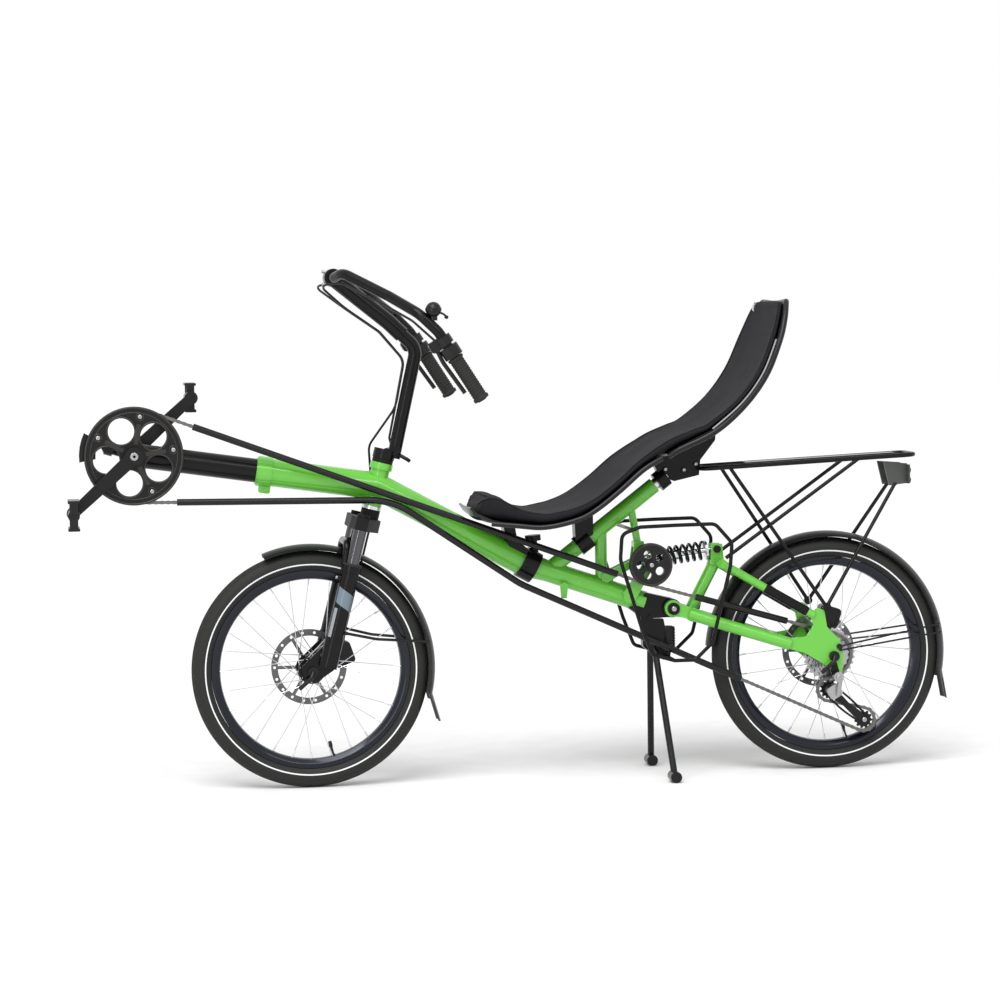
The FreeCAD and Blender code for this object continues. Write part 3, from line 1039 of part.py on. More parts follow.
def fork():
    """Crown with steerer and stanchions, and the sliders with their arch and dropouts."""
    half = d.leg_spacing / 2
    low = -d.crown_top - d.crown_thickness
    # columns: side, distance ahead of the steering axis
    crown_outline = ((-half - 18, 8), (-20, -24), (20, -24), (half + 18, 8), (half + 18, 34), (half - 16, 42),
                     (-half + 16, 42), (-half - 18, 34))
    base = [head(low, forward, side) for side, forward in crown_outline]
    crown = Part.Face(Part.makePolygon(base + base[:1])).extrude(HEAD_UP * d.crown_thickness)
    caps = [rod(head(-d.crown_top, d.leg_forward, side * half), head(-d.crown_top + 7, d.leg_forward, side * half), 13)
            for side in (LEFT, RIGHT)]
    steerer = rod(head(low), head(d.head_tube_length + d.headset_height + 19), d.steerer_radius)
    race = rod(head(-d.crown_top - 1), head(-d.head_play), d.head_tube_radius)
    top_cup = rod(head(d.head_tube_length + d.head_play), head(d.head_tube_length + d.headset_height),
                  d.head_tube_radius + 2)
    stanchions = [rod(head(low, d.leg_forward, side * half), head(-d.slider_top - 60, d.leg_forward, side * half),
                      d.stanchion_radius) for side in (LEFT, RIGHT)]
    feature("fork_crown", fuse(crown, caps, steerer, race, top_cup, stanchions))
    inner = d.front_fork_width / 2
    lowers = []
    bores = [pin(FRONT_AXLE.x, FRONT_AXLE.z, d.axle_radius + d.seat_gap, -120, 120)]
    for side in (LEFT, RIGHT):
        top = head(-d.slider_top, d.leg_forward, side * half)
        foot = head(-d.slider_bottom, d.leg_forward, side * half)
        lowers.append(rod(top, foot, d.slider_radius))
        lowers.append(rod(top + HEAD_UP * 10, top - HEAD_UP * 4, d.slider_radius + 2))
        lowers.append(rod(foot + HEAD_UP * 60, foot - HEAD_UP * 4, d.slider_radius + 1.5))
        outline = [head(-d.slider_bottom + 40, 2), head(-d.slider_bottom + 40, 36),
                   FRONT_AXLE + at(22, 12), FRONT_AXLE + at(20, -14), FRONT_AXLE + at(-14, -18),
                   head(-d.slider_bottom - 8, 4)]
        lowers.append(flat(outline, d.dropout_thickness, side * (inner + d.dropout_thickness / 2), bends=5))
        lowers.append(rod(head(-d.slider_bottom + 6, d.leg_forward, side * inner),
                          head(-d.slider_bottom + 6, d.leg_forward, side * half), 14))
        boss = head(-d.slider_top - 20, d.leg_forward + d.slider_radius + 5, side * half)
        lowers.append(rod(boss - HEAD_FORWARD * 12, boss, 7))
        bores.append(rod(head(-d.slider_top + 90, d.leg_forward, side * half),
                         head(-d.slider_top - 64, d.leg_forward, side * half), d.stanchion_radius + d.seat_gap))
    # arch that clears the mudguard
    arch_top = MUDGUARD_RADIUS + d.arch_gap + d.arch_radius
    forward = d.leg_forward + 19
    rise = head(-d.slider_top - 12, forward)
    height = math.sqrt(arch_top ** 2 - (FRONT_AXLE - head(0, forward)).dot(HEAD_FORWARD) ** 2)
    arch_up = (FRONT_AXLE - HEAD_LOW).dot(HEAD_UP) + height
    lowers.append(bent_rod([head(-d.slider_top - 12, d.leg_forward + 12, -half), head(arch_up, forward, -half + 14),
                            head(arch_up, forward, half - 14), head(-d.slider_top - 12, d.leg_forward + 12, half)],
                           d.arch_radius, 16))
    feature("fork_sliders", fuse(lowers).cut(bores))


def riser():
    """Riser from a clamp on the steerer, bending forward into the stem and its bar clamp."""
    ring = head(d.head_tube_length + d.headset_height + d.head_play)
    foot = head(d.head_tube_length + d.headset_height + 6, -d.riser_offset - 2)
    bend_at = BAR_CLAMP + at(-174, -150)
    knee_at = BAR_CLAMP + at(-116, -94)
    clampring = rod(ring, ring + HEAD_UP * 20, d.steerer_radius + 9)
    lower = bent_rod([foot, bend_at, knee_at], d.riser_radius, 34)
    upper = bent_rod([between(bend_at, knee_at, bend_at.x + 30), knee_at, BAR_CLAMP], d.stem_radius, 90)
    bar_clamp = pin(BAR_CLAMP.x, BAR_CLAMP.z, d.bar_radius + 8, -d.bar_clamp_half, d.bar_clamp_half)
    hinge = block(foot + HEAD_UP * 14 + at(6, 2), 34, 2 * d.riser_radius + 6, 16, tilt=14, corner=4)
    lever = bent_rod([foot + HEAD_UP * 8 + at(-8, 0, 8), foot + HEAD_UP * 2 + at(-26, -4, 19),
                      foot + at(-32, -6, 16)], 4, 4)
    cuts = [rod(head(50), head(d.head_tube_length + d.headset_height + 24), d.steerer_radius + d.seat_gap),
            pin(BAR_CLAMP.x, BAR_CLAMP.z, d.bar_radius + d.seat_gap, -60, 60)]
    feature("riser", fuse(lower, upper, clampring, bar_clamp, hinge, lever).cut(cuts))


def bar_route(side):
    """Corners of one half of the bar, from the clamp to the grip's end."""
    half = d.bar_half_width
    # offsets from the bar's clamp: ahead, up, to the side
    route = ((0, 0, 0), (0, 0, 44), (-14, 8, 84), (-100, -42, 166), (-152, -78, 232), (-190, -115, half),
             (-275, -250, half))
    return [BAR_CLAMP + at(x, z, side * y) for x, z, y in route]


def bar_half(side, radius):
    return bent_rod(bar_route(side), radius, [22, 40, 50, 40, 60])


def handlebar():
    """Bar in one piece from grip to grip, and the two grips."""
    halves, grips = [], []
    for side in (LEFT, RIGHT):
        points = bar_route(side)
        halves.append(bar_half(side, d.bar_radius))
        end = points[-1]
        toward = (points[-2] - end).normalize()
        grip = fuse(rod(end - toward * 4, end + toward * d.grip_length, d.grip_radius),
                    rod(end - toward * 4, end + toward * 2, d.grip_radius + 2),
                    rod(end + toward * (d.grip_length - 6), end + toward * d.grip_length, d.grip_radius + 2))
        grips.append(grip.cut(rod(end, end + toward * 200, d.bar_radius + d.seat_gap)))
    feature("handlebar", fuse(halves))
    feature("grips", Part.makeCompound(grips))


def bar_controls():
    """Shifter rings, brake levers on their clamps, and a bell on the left."""
    pieces = []
    for side in (LEFT, RIGHT):
        end = bar_route(side)[-1]
        toward = (bar_route(side)[-2] - end).normalize()
        ahead = at(toward.z, -toward.x)
        slope = -math.degrees(math.atan2(toward.z, toward.x))
        bar_room = bar_half(side, d.bar_radius + d.seat_gap)
        root = end + toward * (d.grip_length + 14)
        brake = end + toward * (d.grip_length + 40)
        ring = rod(root - toward * 12, root + toward * 12, d.bar_radius + 9)
        clamp = rod(brake - toward * 9, brake + toward * 9, d.bar_radius + 6)
        body = block(brake + ahead * 19, 24, 18, 30, tilt=slope, corner=7)
        blade = bent_rod([brake + ahead * 22, brake + ahead * 26 - toward * 36,
                          brake + ahead * 22 - toward * 112], 4.5, 60)
        pieces.append(ring.cut(bar_room))
        pieces.append(fuse(clamp, body, blade).cut(bar_room))
    bar_room = bar_half(LEFT, d.bar_radius + d.seat_gap)
    bell_at = BAR_CLAMP + at(d.bell_ahead, d.bell_up, d.bar_half_width - 4)
    foot = bell_at - at(0, d.bell_radius + 6)
    pieces.append(fuse(Part.makeSphere(d.bell_radius, bell_at), rod(foot, bell_at, 8)).cut(bar_room))
    feature("bar_controls", Part.makeCompound(pieces))


def bar_cables():
    """The front brake's hose from the left lever to its caliper, and a cable from the right lever
    to the stem's foot, both looped ahead of the bar and led down the riser's front."""
    bend_at = BAR_CLAMP + at(-174, -150)
    foot = head(d.head_tube_length + d.headset_height + 6, -d.riser_offset - 2)
    along = (foot - bend_at).normalize()
    front = at(-along.z, along.x) * (d.riser_radius + d.cable_radius + 1.5)
    holders = [item.Shape for item in sub_parts if item.Label in ("front_caliper", "riser", "bar_controls")]
    cables = []
    for side in (LEFT, RIGHT):
        lever_side = [BAR_CLAMP + at(x, z, side * y) for x, z, y in (
            (-190, -140, 240), (-138, -92, 234), (-88, -58, 168), (-8, -12, 96), (34, -16, 62), (-22, -62, 10),
            (-96, -114, 8))]
        lane = SIDE * (side * 4)
        down_riser = [bend_at + along * 30 + front * 1.15 + lane, bend_at + along * 130 + front + lane]
        if side == RIGHT:
            tail = [foot + HEAD_UP * 40 + front + lane, foot + HEAD_UP * 20 + front * 0.4 + lane]
            bends = [20, 40, 40, 20, 60, 40, 30, 60, 8]
        else:
            tail = [head(128, 32, -36), head(72, 12, -58), head(24, -14, -61), head(-268, -13, -56),
                    head(-296, -15, -50)]
            bends = [20, 40, 40, 20, 60, 40, 30, 60, 40, 40, 40, 20]
        points = lever_side + down_riser + tail
        pieces = bent_rod(points, d.cable_radius, bends).cut(holders).Solids
        cables.append(max(pieces, key=lambda piece: piece.Volume))
    feature("bar_cables", Part.makeCompound(cables))


# ---------------------------------------------------------------- rack, hoops and stand

def rack_height(x):
    """Height of the rack's rods at x."""
    share = (d.rack_front_x - x) / (d.rack_front_x - d.rack_rear_x)
    return d.rack_front_z + (d.rack_rear_z - d.rack_front_z) * share


def on_rack(x, y=0, rise=0):
    return at(x, rack_height(x) + rise, y)


def rear_rack():
    """Rod platform with a top plate, V struts to the dropouts, long stays and a lamp bracket."""
    half = d.rack_half_width
    face = d.rear_fork_width / 2 + d.dropout_thickness + d.seat_gap
    slope = math.degrees(math.atan2(d.rack_rear_z - d.rack_front_z, d.rack_front_x - d.rack_rear_x))
    foot = REAR_AXLE + at(d.rack_foot_x, d.rack_foot_rise)
    pieces = []
    bracket_x = -152
    bracket = ((-126, 660), (-178, 656), (-176, 613), (-138, 609))
    for side in (LEFT, RIGHT):
        pieces.append(bent_rod([on_rack(d.rack_front_x), on_rack(d.rack_front_x, side * half),
                                on_rack(d.rack_rear_x, side * half), on_rack(d.rack_rear_x)], d.rack_rod_radius, 20))
        eye_y = side * (face + d.rack_strut_radius)
        pieces.append(rod(on_rack(218, side * half), foot + SIDE * eye_y, d.rack_strut_radius))
        pieces.append(rod(on_rack(bracket_x, side * 26, -60), foot + SIDE * eye_y, d.rack_strut_radius))
        pieces.append(pin(foot.x, foot.z, 9, side * face, side * (face + 2 * d.rack_strut_radius)))
        pieces.append(rod(on_rack(-66, side * half), SHOCK_REAR + at(-12, -17, side * (d.stay_top_spread + 8)),
                          d.rack_strut_radius))
        pieces.append(plate(bracket, 4, side * 26))
    for x in (166, 60, -66, bracket_x):
        pieces.append(rod(on_rack(x, -half), on_rack(x, half), d.rack_strut_radius))
    pieces.append(block(on_rack(10, 0, d.rack_rod_radius - 1), 330, 44, d.rack_plate_thickness, tilt=slope))
    pieces.append(pin(bracket_x, rack_height(bracket_x) - 60, 5, -28, 28))
    # lamp plate, upright between the bracket's sides, with two holes side by side
    lamp = at(d.lamp_plate_x, 0, 0) + at(0, d.lamp_plate_z)
    holes = [rod(lamp + at(-9, 0, side * d.lamp_hole_spacing / 2), lamp + at(9, 0, side * d.lamp_hole_spacing / 2),
                 d.lamp_hole_radius) for side in (LEFT, RIGHT)]
    pieces.append(block(lamp, 3, d.lamp_plate_width, d.lamp_plate_height).cut(holes))
    feature("rear_rack", fuse(pieces))


def pannier_hoops():
    """A rod hoop each side under the seat, joined by two cross bars."""
    half = d.hoop_spacing / 2
    corners = [(350, 540), (423, 538), (462, 524), (466, 470), (424, 330), (400, 268), (HOOP_BAR.x, HOOP_BAR.z),
               (308, HOOP_BAR.z), (270, 290), (230, 450), (226, 500), (262, 541)]
    pieces = []
    for side in (LEFT, RIGHT):
        points = [at(x, z, side * half) for x, z in corners]
        pieces.append(bent_rod(points[:7], d.hoop_radius, [12, 18, 40, 20, 14]))
        pieces.append(bent_rod(points[6:] + points[:1], d.hoop_radius, [16, 18, 30, 20, 20]))
    pieces.append(rod(HOOP_BAR + SIDE * -half, HOOP_BAR + SIDE * half, d.hoop_radius))
    pieces.append(rod(at(440, 533, -half), at(440, 533, half), d.hoop_radius))
    feature("pannier_hoops", fuse(pieces))


def stand():
    """Bracket under the pivot block, and the two-legged stand on its pin."""
    pivot = STAND_PIVOT
    bracket = flat([PIVOT + at(16, -24), LOWER_END + at(8, -34), pivot + at(22, -4), pivot + at(8, -16),
                    HOOP_BAR + at(6, -8), HOOP_BAR + at(-8, -8), HOOP_BAR + at(-10, 6)],
                   2 * d.stand_bracket_half, 0)
    cuts = [pin(pivot.x, pivot.z, d.stand_pin_radius + d.running_gap, -40, 40),
            flat([p - at(0, d.seat_gap) for p in PIVOT_NECK], 44, 0),
            pin(LOWER_END.x - 11, LOWER_END.z - 31, 6 + d.seat_gap, -24, 24),
            pin(HOOP_BAR.x, HOOP_BAR.z, d.hoop_radius + d.seat_gap, -40, 40)]
    feature("stand_bracket", bracket.cut(cuts))
    top_y = d.stand_top_spacing / 2
    inner = d.stand_bracket_half + 1
    pieces = [pin(pivot.x, pivot.z, d.stand_pin_radius, -top_y, top_y)]
    for side in (LEFT, RIGHT):
        foot_y = side * d.stand_foot_spacing / 2
        foot = at(pivot.x - d.stand_back, d.stand_shoe_radius, foot_y)
        pieces.append(pin(pivot.x, pivot.z, 11, side * inner, side * (top_y + 6)))
        pieces.append(rod(pivot + SIDE * (side * top_y), foot, d.stand_rod_radius))
        pieces.append(rod(foot - SIDE * 18, foot + SIDE * 18, d.stand_shoe_radius))
    feature("stand_legs", fuse(pieces))


laced_wheels()
cassette()
main_frame()
boom()
front_derailleur()
pivot_block()
swingarm()
skewer("rear_axle", REAR_AXLE, d.rear_fork_width / 2)
skewer("front_axle", FRONT_AXLE, d.front_fork_width / 2)
shock()
seat()
seat_mounts()
crankset()
chain()
chain_tubes()
idler()
rear_derailleur()
rear_caliper()
rear_mudguard()
front_mudguard()
fork()
front_caliper()
riser()
handlebar()
bar_controls()
bar_cables()
rear_rack()
pannier_hoops()
stand()
doc.recompute()

failed = []
for item in doc.Objects:
    if any(word in item.State for word in ("Invalid", "Error")):
        failed.append(item.Name)
for item in sub_parts:
    if item.Shape.isNull() or not item.Shape.isValid():
        failed.append(item.Label)
    print(item.Label, len(item.Shape.Solids), round(item.Shape.Volume))
if failed:
    raise RuntimeError("failed sub-parts: " + ", ".join(failed))
for item in sub_parts:
    item.Shape.exportStep("parts/" + item.Label + ".step")
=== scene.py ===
import json
import math

import bpy
from mathutils import Matrix, Vector, noise


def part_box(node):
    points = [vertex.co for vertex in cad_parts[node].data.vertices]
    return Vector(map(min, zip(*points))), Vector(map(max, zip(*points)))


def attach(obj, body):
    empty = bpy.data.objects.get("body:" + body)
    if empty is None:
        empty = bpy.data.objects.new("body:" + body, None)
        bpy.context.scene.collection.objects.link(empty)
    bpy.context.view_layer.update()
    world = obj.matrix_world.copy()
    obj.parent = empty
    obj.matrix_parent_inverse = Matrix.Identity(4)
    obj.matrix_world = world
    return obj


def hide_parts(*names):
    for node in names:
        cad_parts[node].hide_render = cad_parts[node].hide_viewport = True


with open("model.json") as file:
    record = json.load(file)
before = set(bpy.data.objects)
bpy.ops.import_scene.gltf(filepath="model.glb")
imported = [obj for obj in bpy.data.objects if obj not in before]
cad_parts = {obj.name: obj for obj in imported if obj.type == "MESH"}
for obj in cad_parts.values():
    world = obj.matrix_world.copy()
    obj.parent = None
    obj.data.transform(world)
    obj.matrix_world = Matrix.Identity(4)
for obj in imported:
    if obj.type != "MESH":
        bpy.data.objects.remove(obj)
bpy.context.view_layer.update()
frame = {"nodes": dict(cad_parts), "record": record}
nodes = frame["nodes"]
scene = bpy.context.scene

# Metres. Places are given ahead of the rear axle, above the floor and to the rider's left.
REAR_AXLE_BACK = 0.667
LEFT, RIGHT = 1, -1
ACROSS = Vector((0, 1, 0))
DRIVE, BRAKE = LEFT, RIGHT


def at(ahead, up, side=0.0):
    """A point from its distance ahead of the rear axle, its height and its side."""
    return Vector((ahead - REAR_AXLE_BACK, side, up))


# the bicycle's sizes, as the CAD has them
WHEEL_RADIUS, TYRE_RADIUS, RIM_RADIUS = 0.250, 0.0235, 0.209
REAR_AXLE, FRONT_AXLE = at(0, WHEEL_RADIUS), at(1.113, WHEEL_RADIUS)
BOTTOM_BRACKET = at(1.474, 0.708)
IDLER = at(0.390, 0.4535)
CHAIN_LINE = DRIVE * 0.045
HEAD_LOW = at(0.9795, 0.5836)
HEAD_ANGLE = math.radians(75.5)
HEAD_UP = Vector((-math.cos(HEAD_ANGLE), 0, math.sin(HEAD_ANGLE)))
HEAD_FORWARD = Vector((HEAD_UP.z, 0, -HEAD_UP.x))
BAR_CLAMP = HEAD_LOW + Vector((0.0725, 0, 0.486))
LEG_SIDE, LEG_FORWARD, SLIDER_RADIUS, STANCHION_RADIUS = 0.066, 0.019, 0.018, 0.014
HANGER = REAR_AXLE + Vector((-0.007, DRIVE * 0.070, -0.044))
JOCKEY_UPPER = REAR_AXLE + Vector((0.004, 0, -0.075))
JOCKEY_LOWER = REAR_AXLE + Vector((-0.072, 0, -0.142))
PIVOT, SHOCK_REAR = at(0.341, 0.358), at(0.240, 0.481)
SEAT_TUBE_TOP = at(0.372, 0.620)
HEAD_LENGTH = 0.100


def head(up, forward=0.0, side=0.0):
    """A point by its height on the steering axis, its distance ahead of it and its side."""
    return HEAD_LOW + HEAD_UP * up + HEAD_FORWARD * forward + ACROSS * side


def round_point(centre, radius, degrees, side=0.0):
    """A point about a centre, by its angle from straight ahead, upwards."""
    angle = math.radians(degrees)
    return centre + Vector((radius * math.cos(angle), side, radius * math.sin(angle)))


# ---------------------------------------------------------------- camera, floor and light

# camera place and view, from a fit of the two wheels in the photograph
CAMERA_AT = Vector((0.9874, 6.2470, 0.9802))
CAMERA_AZIMUTH = 0.150874
CAMERA_ELEVATION = 0.060721
CAMERA_ROLL = -0.014828
FOCAL_PIXELS = 2989.3
SENSOR = 36.0
PIXELS = 1000
VIEW_DEPTH = 60


def make_camera():
    """The camera at the photograph's place."""
    back = Vector((math.sin(CAMERA_AZIMUTH) * math.cos(CAMERA_ELEVATION),
                   math.cos(CAMERA_AZIMUTH) * math.cos(CAMERA_ELEVATION),
                   math.sin(CAMERA_ELEVATION)))
    right = (-back).cross(Vector((0, 0, 1))).normalized()
    up = right.cross(-back)
    cos_roll, sin_roll = math.cos(CAMERA_ROLL), math.sin(CAMERA_ROLL)
    x_axis = right * cos_roll + up * sin_roll
    y_axis = up * cos_roll - right * sin_roll
    data = bpy.data.cameras.new("camera")
    data.sensor_width = SENSOR
    data.lens = FOCAL_PIXELS / PIXELS * SENSOR
    data.clip_end = VIEW_DEPTH
    camera = bpy.data.objects.new("camera", data)
    turn = Matrix((x_axis, y_axis, back)).transposed().to_4x4()
    camera.matrix_world = Matrix.Translation(CAMERA_AT) @ turn
    scene.collection.objects.link(camera)
    scene.camera = camera


def area_light(name, place, target, size, power):
    """A rectangular lamp at a place, turned to a target."""
    data = bpy.data.lights.new(name, "AREA")
    data.shape = "RECTANGLE"
    data.size, data.size_y = size
    data.energy = power
    lamp = bpy.data.objects.new(name, data)
    lamp.location = place
    lamp.rotation_euler = (Vector(target) - Vector(place)).to_track_quat("-Z", "Y").to_euler()
    scene.collection.objects.link(lamp)


ROOM_STRENGTH = 0.62
SUN_STRENGTH, SUN_ANGLE, SUN_RUN = 2.0, math.radians(40), Vector((-0.30, -0.55, -1))
# columns: name, place, target, width and height, power
STRIPS = (
    ("long_strip", (0.2, 3.0, 2.7), (0, 0, 0.5), (3.6, 0.28), 26),
    ("upright_strip", (2.3, 3.2, 1.3), (0, 0, 0.6), (0.30, 2.4), 16),
)
FLOOR_SIZE = 60


def make_studio():
    """White paper all round, a soft sun, and two long strips whose gleam runs along the tubes."""
    scene.view_settings.view_transform = "Standard"
    world = bpy.data.worlds.new("world")
    scene.world = world
    world.use_nodes = True
    tree = world.node_tree
    background = tree.nodes["Background"]
    background.inputs["Color"].default_value = (1, 1, 1, 1)
    room = tree.nodes.new("ShaderNodeBackground")
    room.inputs["Color"].default_value = (1, 1, 1, 1)
    room.inputs["Strength"].default_value = ROOM_STRENGTH
    rays = tree.nodes.new("ShaderNodeLightPath")
    choice = tree.nodes.new("ShaderNodeMixShader")
    seen = rays.outputs["Is Camera Ray"]
    for kind in ("Is Glossy Ray", "Is Transmission Ray"):
        either = tree.nodes.new("ShaderNodeMath")
        either.operation = "MAXIMUM"
        tree.links.new(seen, either.inputs[0])
        tree.links.new(rays.outputs[kind], either.inputs[1])
        seen = either.outputs["Value"]
    tree.links.new(seen, choice.inputs["Fac"])
    tree.links.new(room.outputs["Background"], choice.inputs[1])
    tree.links.new(background.outputs["Background"], choice.inputs[2])
    tree.links.new(choice.outputs["Shader"], tree.nodes["World Output"].inputs["Surface"])
    sun = bpy.data.lights.new("sun", "SUN")
    sun.energy = SUN_STRENGTH
    sun.angle = SUN_ANGLE
    lamp = bpy.data.objects.new("sun", sun)
    lamp.rotation_euler = SUN_RUN.to_track_quat("-Z", "Y").to_euler()
    scene.collection.objects.link(lamp)
    for strip in STRIPS:
        area_light(*strip)
    bpy.ops.mesh.primitive_plane_add(size=FLOOR_SIZE)
    floor = bpy.context.object
    floor.name = "floor"
    floor.data.materials.append(finish("floor_paper", (0.90, 0.90, 0.90), roughness=0.9, shine=0.1))


# ---------------------------------------------------------------- finishes

CLOUD_SCALE, CLOUD_DETAIL = 14, 6
GRAIN_DETAIL, GRAIN_DEPTH = 3, 0.0006
COAT_ROUGHNESS, LEAST_ROUGHNESS = 0.08, 0.05


def finish(name, colour, metallic=0.0, roughness=0.4, spread=0.08, grain=0.0, grain_size=900.0, coat=0.0,
           mottle=0.06, shine=0.5):
    """A surface whose colour and roughness vary softly, with a fine bump where it has grain."""
    material = bpy.data.materials.new(name)
    material.use_nodes = True
    tree = material.node_tree
    link = tree.links.new
    shader = tree.nodes["Principled BSDF"]
    shader.inputs["Metallic"].default_value = metallic
    shader.inputs["Specular IOR Level"].default_value = shine
    shader.inputs["Coat Weight"].default_value = coat
    shader.inputs["Coat Roughness"].default_value = COAT_ROUGHNESS
    place = tree.nodes.new("ShaderNodeTexCoord")
    cloud = tree.nodes.new("ShaderNodeTexNoise")
    cloud.inputs["Scale"].default_value = CLOUD_SCALE
    cloud.inputs["Detail"].default_value = CLOUD_DETAIL
    link(place.outputs["Object"], cloud.inputs["Vector"])
    rough = tree.nodes.new("ShaderNodeMapRange")
    rough.inputs["To Min"].default_value = max(roughness - spread, LEAST_ROUGHNESS)
    rough.inputs["To Max"].default_value = min(roughness + spread, 1.0)
    link(cloud.outputs["Fac"], rough.inputs["Value"])
    link(rough.outputs["Result"], shader.inputs["Roughness"])
    blend = tree.nodes.new("ShaderNodeMix")
    blend.data_type = "RGBA"
    blend.inputs["A"].default_value = (*[c * (1 - mottle) for c in colour], 1)
    blend.inputs["B"].default_value = (*[min(c * (1 + mottle), 1.0) for c in colour], 1)
    link(cloud.outputs["Fac"], blend.inputs["Factor"])
    link(blend.outputs["Result"], shader.inputs["Base Color"])
    if grain:
        fine = tree.nodes.new("ShaderNodeTexNoise")
        fine.inputs["Scale"].default_value = grain_size
        fine.inputs["Detail"].default_value = GRAIN_DETAIL
        link(place.outputs["Object"], fine.inputs["Vector"])
        bump = tree.nodes.new("ShaderNodeBump")
        bump.inputs["Strength"].default_value = grain
        bump.inputs["Distance"].default_value = GRAIN_DEPTH
        link(fine.outputs["Fac"], bump.inputs["Height"])
        link(bump.outputs["Normal"], shader.inputs["Normal"])
    return material


# the record's slots, in the photograph's colours
FINISHES = {
    "frame_green": dict(colour=(0.115, 0.49, 0.032), roughness=0.26, coat=0.6, grain=0.03, grain_size=240),
    "black_paint": dict(colour=(0.004, 0.004, 0.004), roughness=0.22, grain=0.08, grain_size=700, shine=0.20),
    "silver": dict(colour=(0.66, 0.67, 0.69), metallic=1.0, roughness=0.22, grain=0.05),
    "steel": dict(colour=(0.40, 0.40, 0.41), metallic=1.0, roughness=0.28, grain=0.10, grain_size=1500),
    "dark_alloy": dict(colour=(0.010, 0.010, 0.011), metallic=0.4, roughness=0.25, grain=0.08, shine=0.35),
    "rubber": dict(colour=(0.020, 0.020, 0.018), roughness=0.62, grain=0.4, grain_size=1100, shine=0.25),
    "tyre": dict(colour=(0.017, 0.017, 0.016), roughness=0.60, grain=0.35, grain_size=800, shine=0.25),
    "black_plastic": dict(colour=(0.006, 0.006, 0.007), roughness=0.28, grain=0.12, grain_size=900,
                          shine=0.30),
    "grey_plastic": dict(colour=(0.24, 0.25, 0.26), roughness=0.45, grain=0.1),
    "seat_fabric": dict(colour=(0.0080, 0.0074, 0.0095), roughness=0.74, grain=0.7, grain_size=1500,
                        mottle=0.15, shine=0.18),
    "chain_steel": dict(colour=(0.16, 0.155, 0.15), metallic=1.0, roughness=0.36, grain=0.1),
}
# finishes that the record has no slot for
EXTRA_FINISHES = {
    "reflective_white": dict(colour=(0.80, 0.81, 0.83), roughness=0.35),
    # the rim's own colour is black; its blue tint is a painted blue reflection
    "rim_black": dict(colour=(0.006, 0.008, 0.015), metallic=0.4, roughness=0.18, coat=0.2, shine=0.35),
    # painted highlight: the pale grey of the line along the back shell's rim
    "shell_edge": dict(colour=(0.30, 0.30, 0.31), roughness=0.35),
    # painted highlights on the fork sliders: the grey-blue patch and the pale stripe stand for light on the
    # black legs
    "painted_highlight_blue": dict(colour=(0.13, 0.18, 0.22), roughness=0.25, coat=0.3),
    "painted_highlight_pale": dict(colour=(0.26, 0.28, 0.29), roughness=0.28, coat=0.3),
    "dark_chrome": dict(colour=(0.10, 0.10, 0.105), metallic=1.0, roughness=0.14, grain=0.02),
    "rotor_steel": dict(colour=(0.13, 0.13, 0.13), metallic=1.0, roughness=0.30, grain=0.12, grain_size=1600),
    "guard_edge": dict(colour=(0.034, 0.031, 0.027), metallic=0.5, roughness=0.30, grain=0.06),
    "dull_black": dict(colour=(0.006, 0.006, 0.006), roughness=0.55, grain=0.10, grain_size=900, shine=0.18),
    "lamp_grey": dict(colour=(0.055, 0.058, 0.054), roughness=0.35, grain=0.08),
}
MATERIALS = {}


def make_materials():
    """Makes every finish and gives each CAD node the one that its slot in the record names."""
    for name, values in {**FINISHES, **EXTRA_FINISHES}.items():
        MATERIALS[name] = finish(name, **values)
    for entry in frame["record"]["subparts"]:
        mesh = nodes[entry["node"]].data
        mesh.materials.clear()
        mesh.materials.append(MATERIALS[entry["material_slot"]])


# columns: CAD node, finish over the whole of it
WHOLE_NODES = (
    ("front_axle", "dark_alloy"), ("rear_axle", "dark_alloy"), ("idler_axle", "dark_alloy"),
    ("left_pedal_axle", "dark_alloy"), ("right_pedal_axle", "dark_alloy"), ("shock_pins", "dark_alloy"),
    ("front_rotor", "rotor_steel"), ("rear_rotor", "rotor_steel"), ("pivot_pin", "black_paint"))
PAINT_MARGIN, CROWN_FOOT = 0.0006, -0.045
DERAILLEUR_SIDE = 0.0545
HANGER_REACH, HANGER_SIDE = 0.024, 0.05
LAMP_PLATE_FROM, LAMP_PLATE_TOP, LAMP_PLATE_HALF = at(-0.105, 0).x, 0.664, 0.06


def on_stanchion(place):
    """Whether a place of the fork's crown piece is on one of its two tubes."""
    offset = place - HEAD_LOW
    away = math.hypot(offset.dot(HEAD_FORWARD) - LEG_FORWARD, abs(place.y) - LEG_SIDE)
    return away < STANCHION_RADIUS + PAINT_MARGIN and offset.dot(HEAD_UP) < CROWN_FOOT


def on_hanger(place):
    """Whether a place of the swingarm is on the derailleur's hanger."""
    return (place - HANGER).length < HANGER_REACH and place.y > HANGER_SIDE


def on_lamp_plate(place):
    """Whether a place of the rack is on the lamp's bracket."""
    return place.x < LAMP_PLATE_FROM and place.z < LAMP_PLATE_TOP and abs(place.y) < LAMP_PLATE_HALF


def paint_details():
    """Second finishes on CAD nodes, over the whole of them or over a part."""
    for node, name in WHOLE_NODES:
        paint_where(node, name, lambda place: True)
    paint_where("rear_derailleur", "steel", lambda place: place.y > DERAILLEUR_SIDE)
    paint_where("fork_crown", "dull_black", lambda place: not on_stanchion(place))
    paint_where("fork_crown", "dark_chrome", on_stanchion)
    paint_where("swingarm", "black_paint", on_hanger)
    paint_where("rear_rack", "lamp_grey", on_lamp_plate)


def paint_where(node, name, inside):
    """Gives another finish to the faces of a CAD node whose middles pass the test."""
    mesh = nodes[node].data
    mesh.materials.append(MATERIALS[name])
    index = len(mesh.materials) - 1
    for face in mesh.polygons:
        if inside(face.center):
            face.material_index = index


# ---------------------------------------------------------------- building pieces

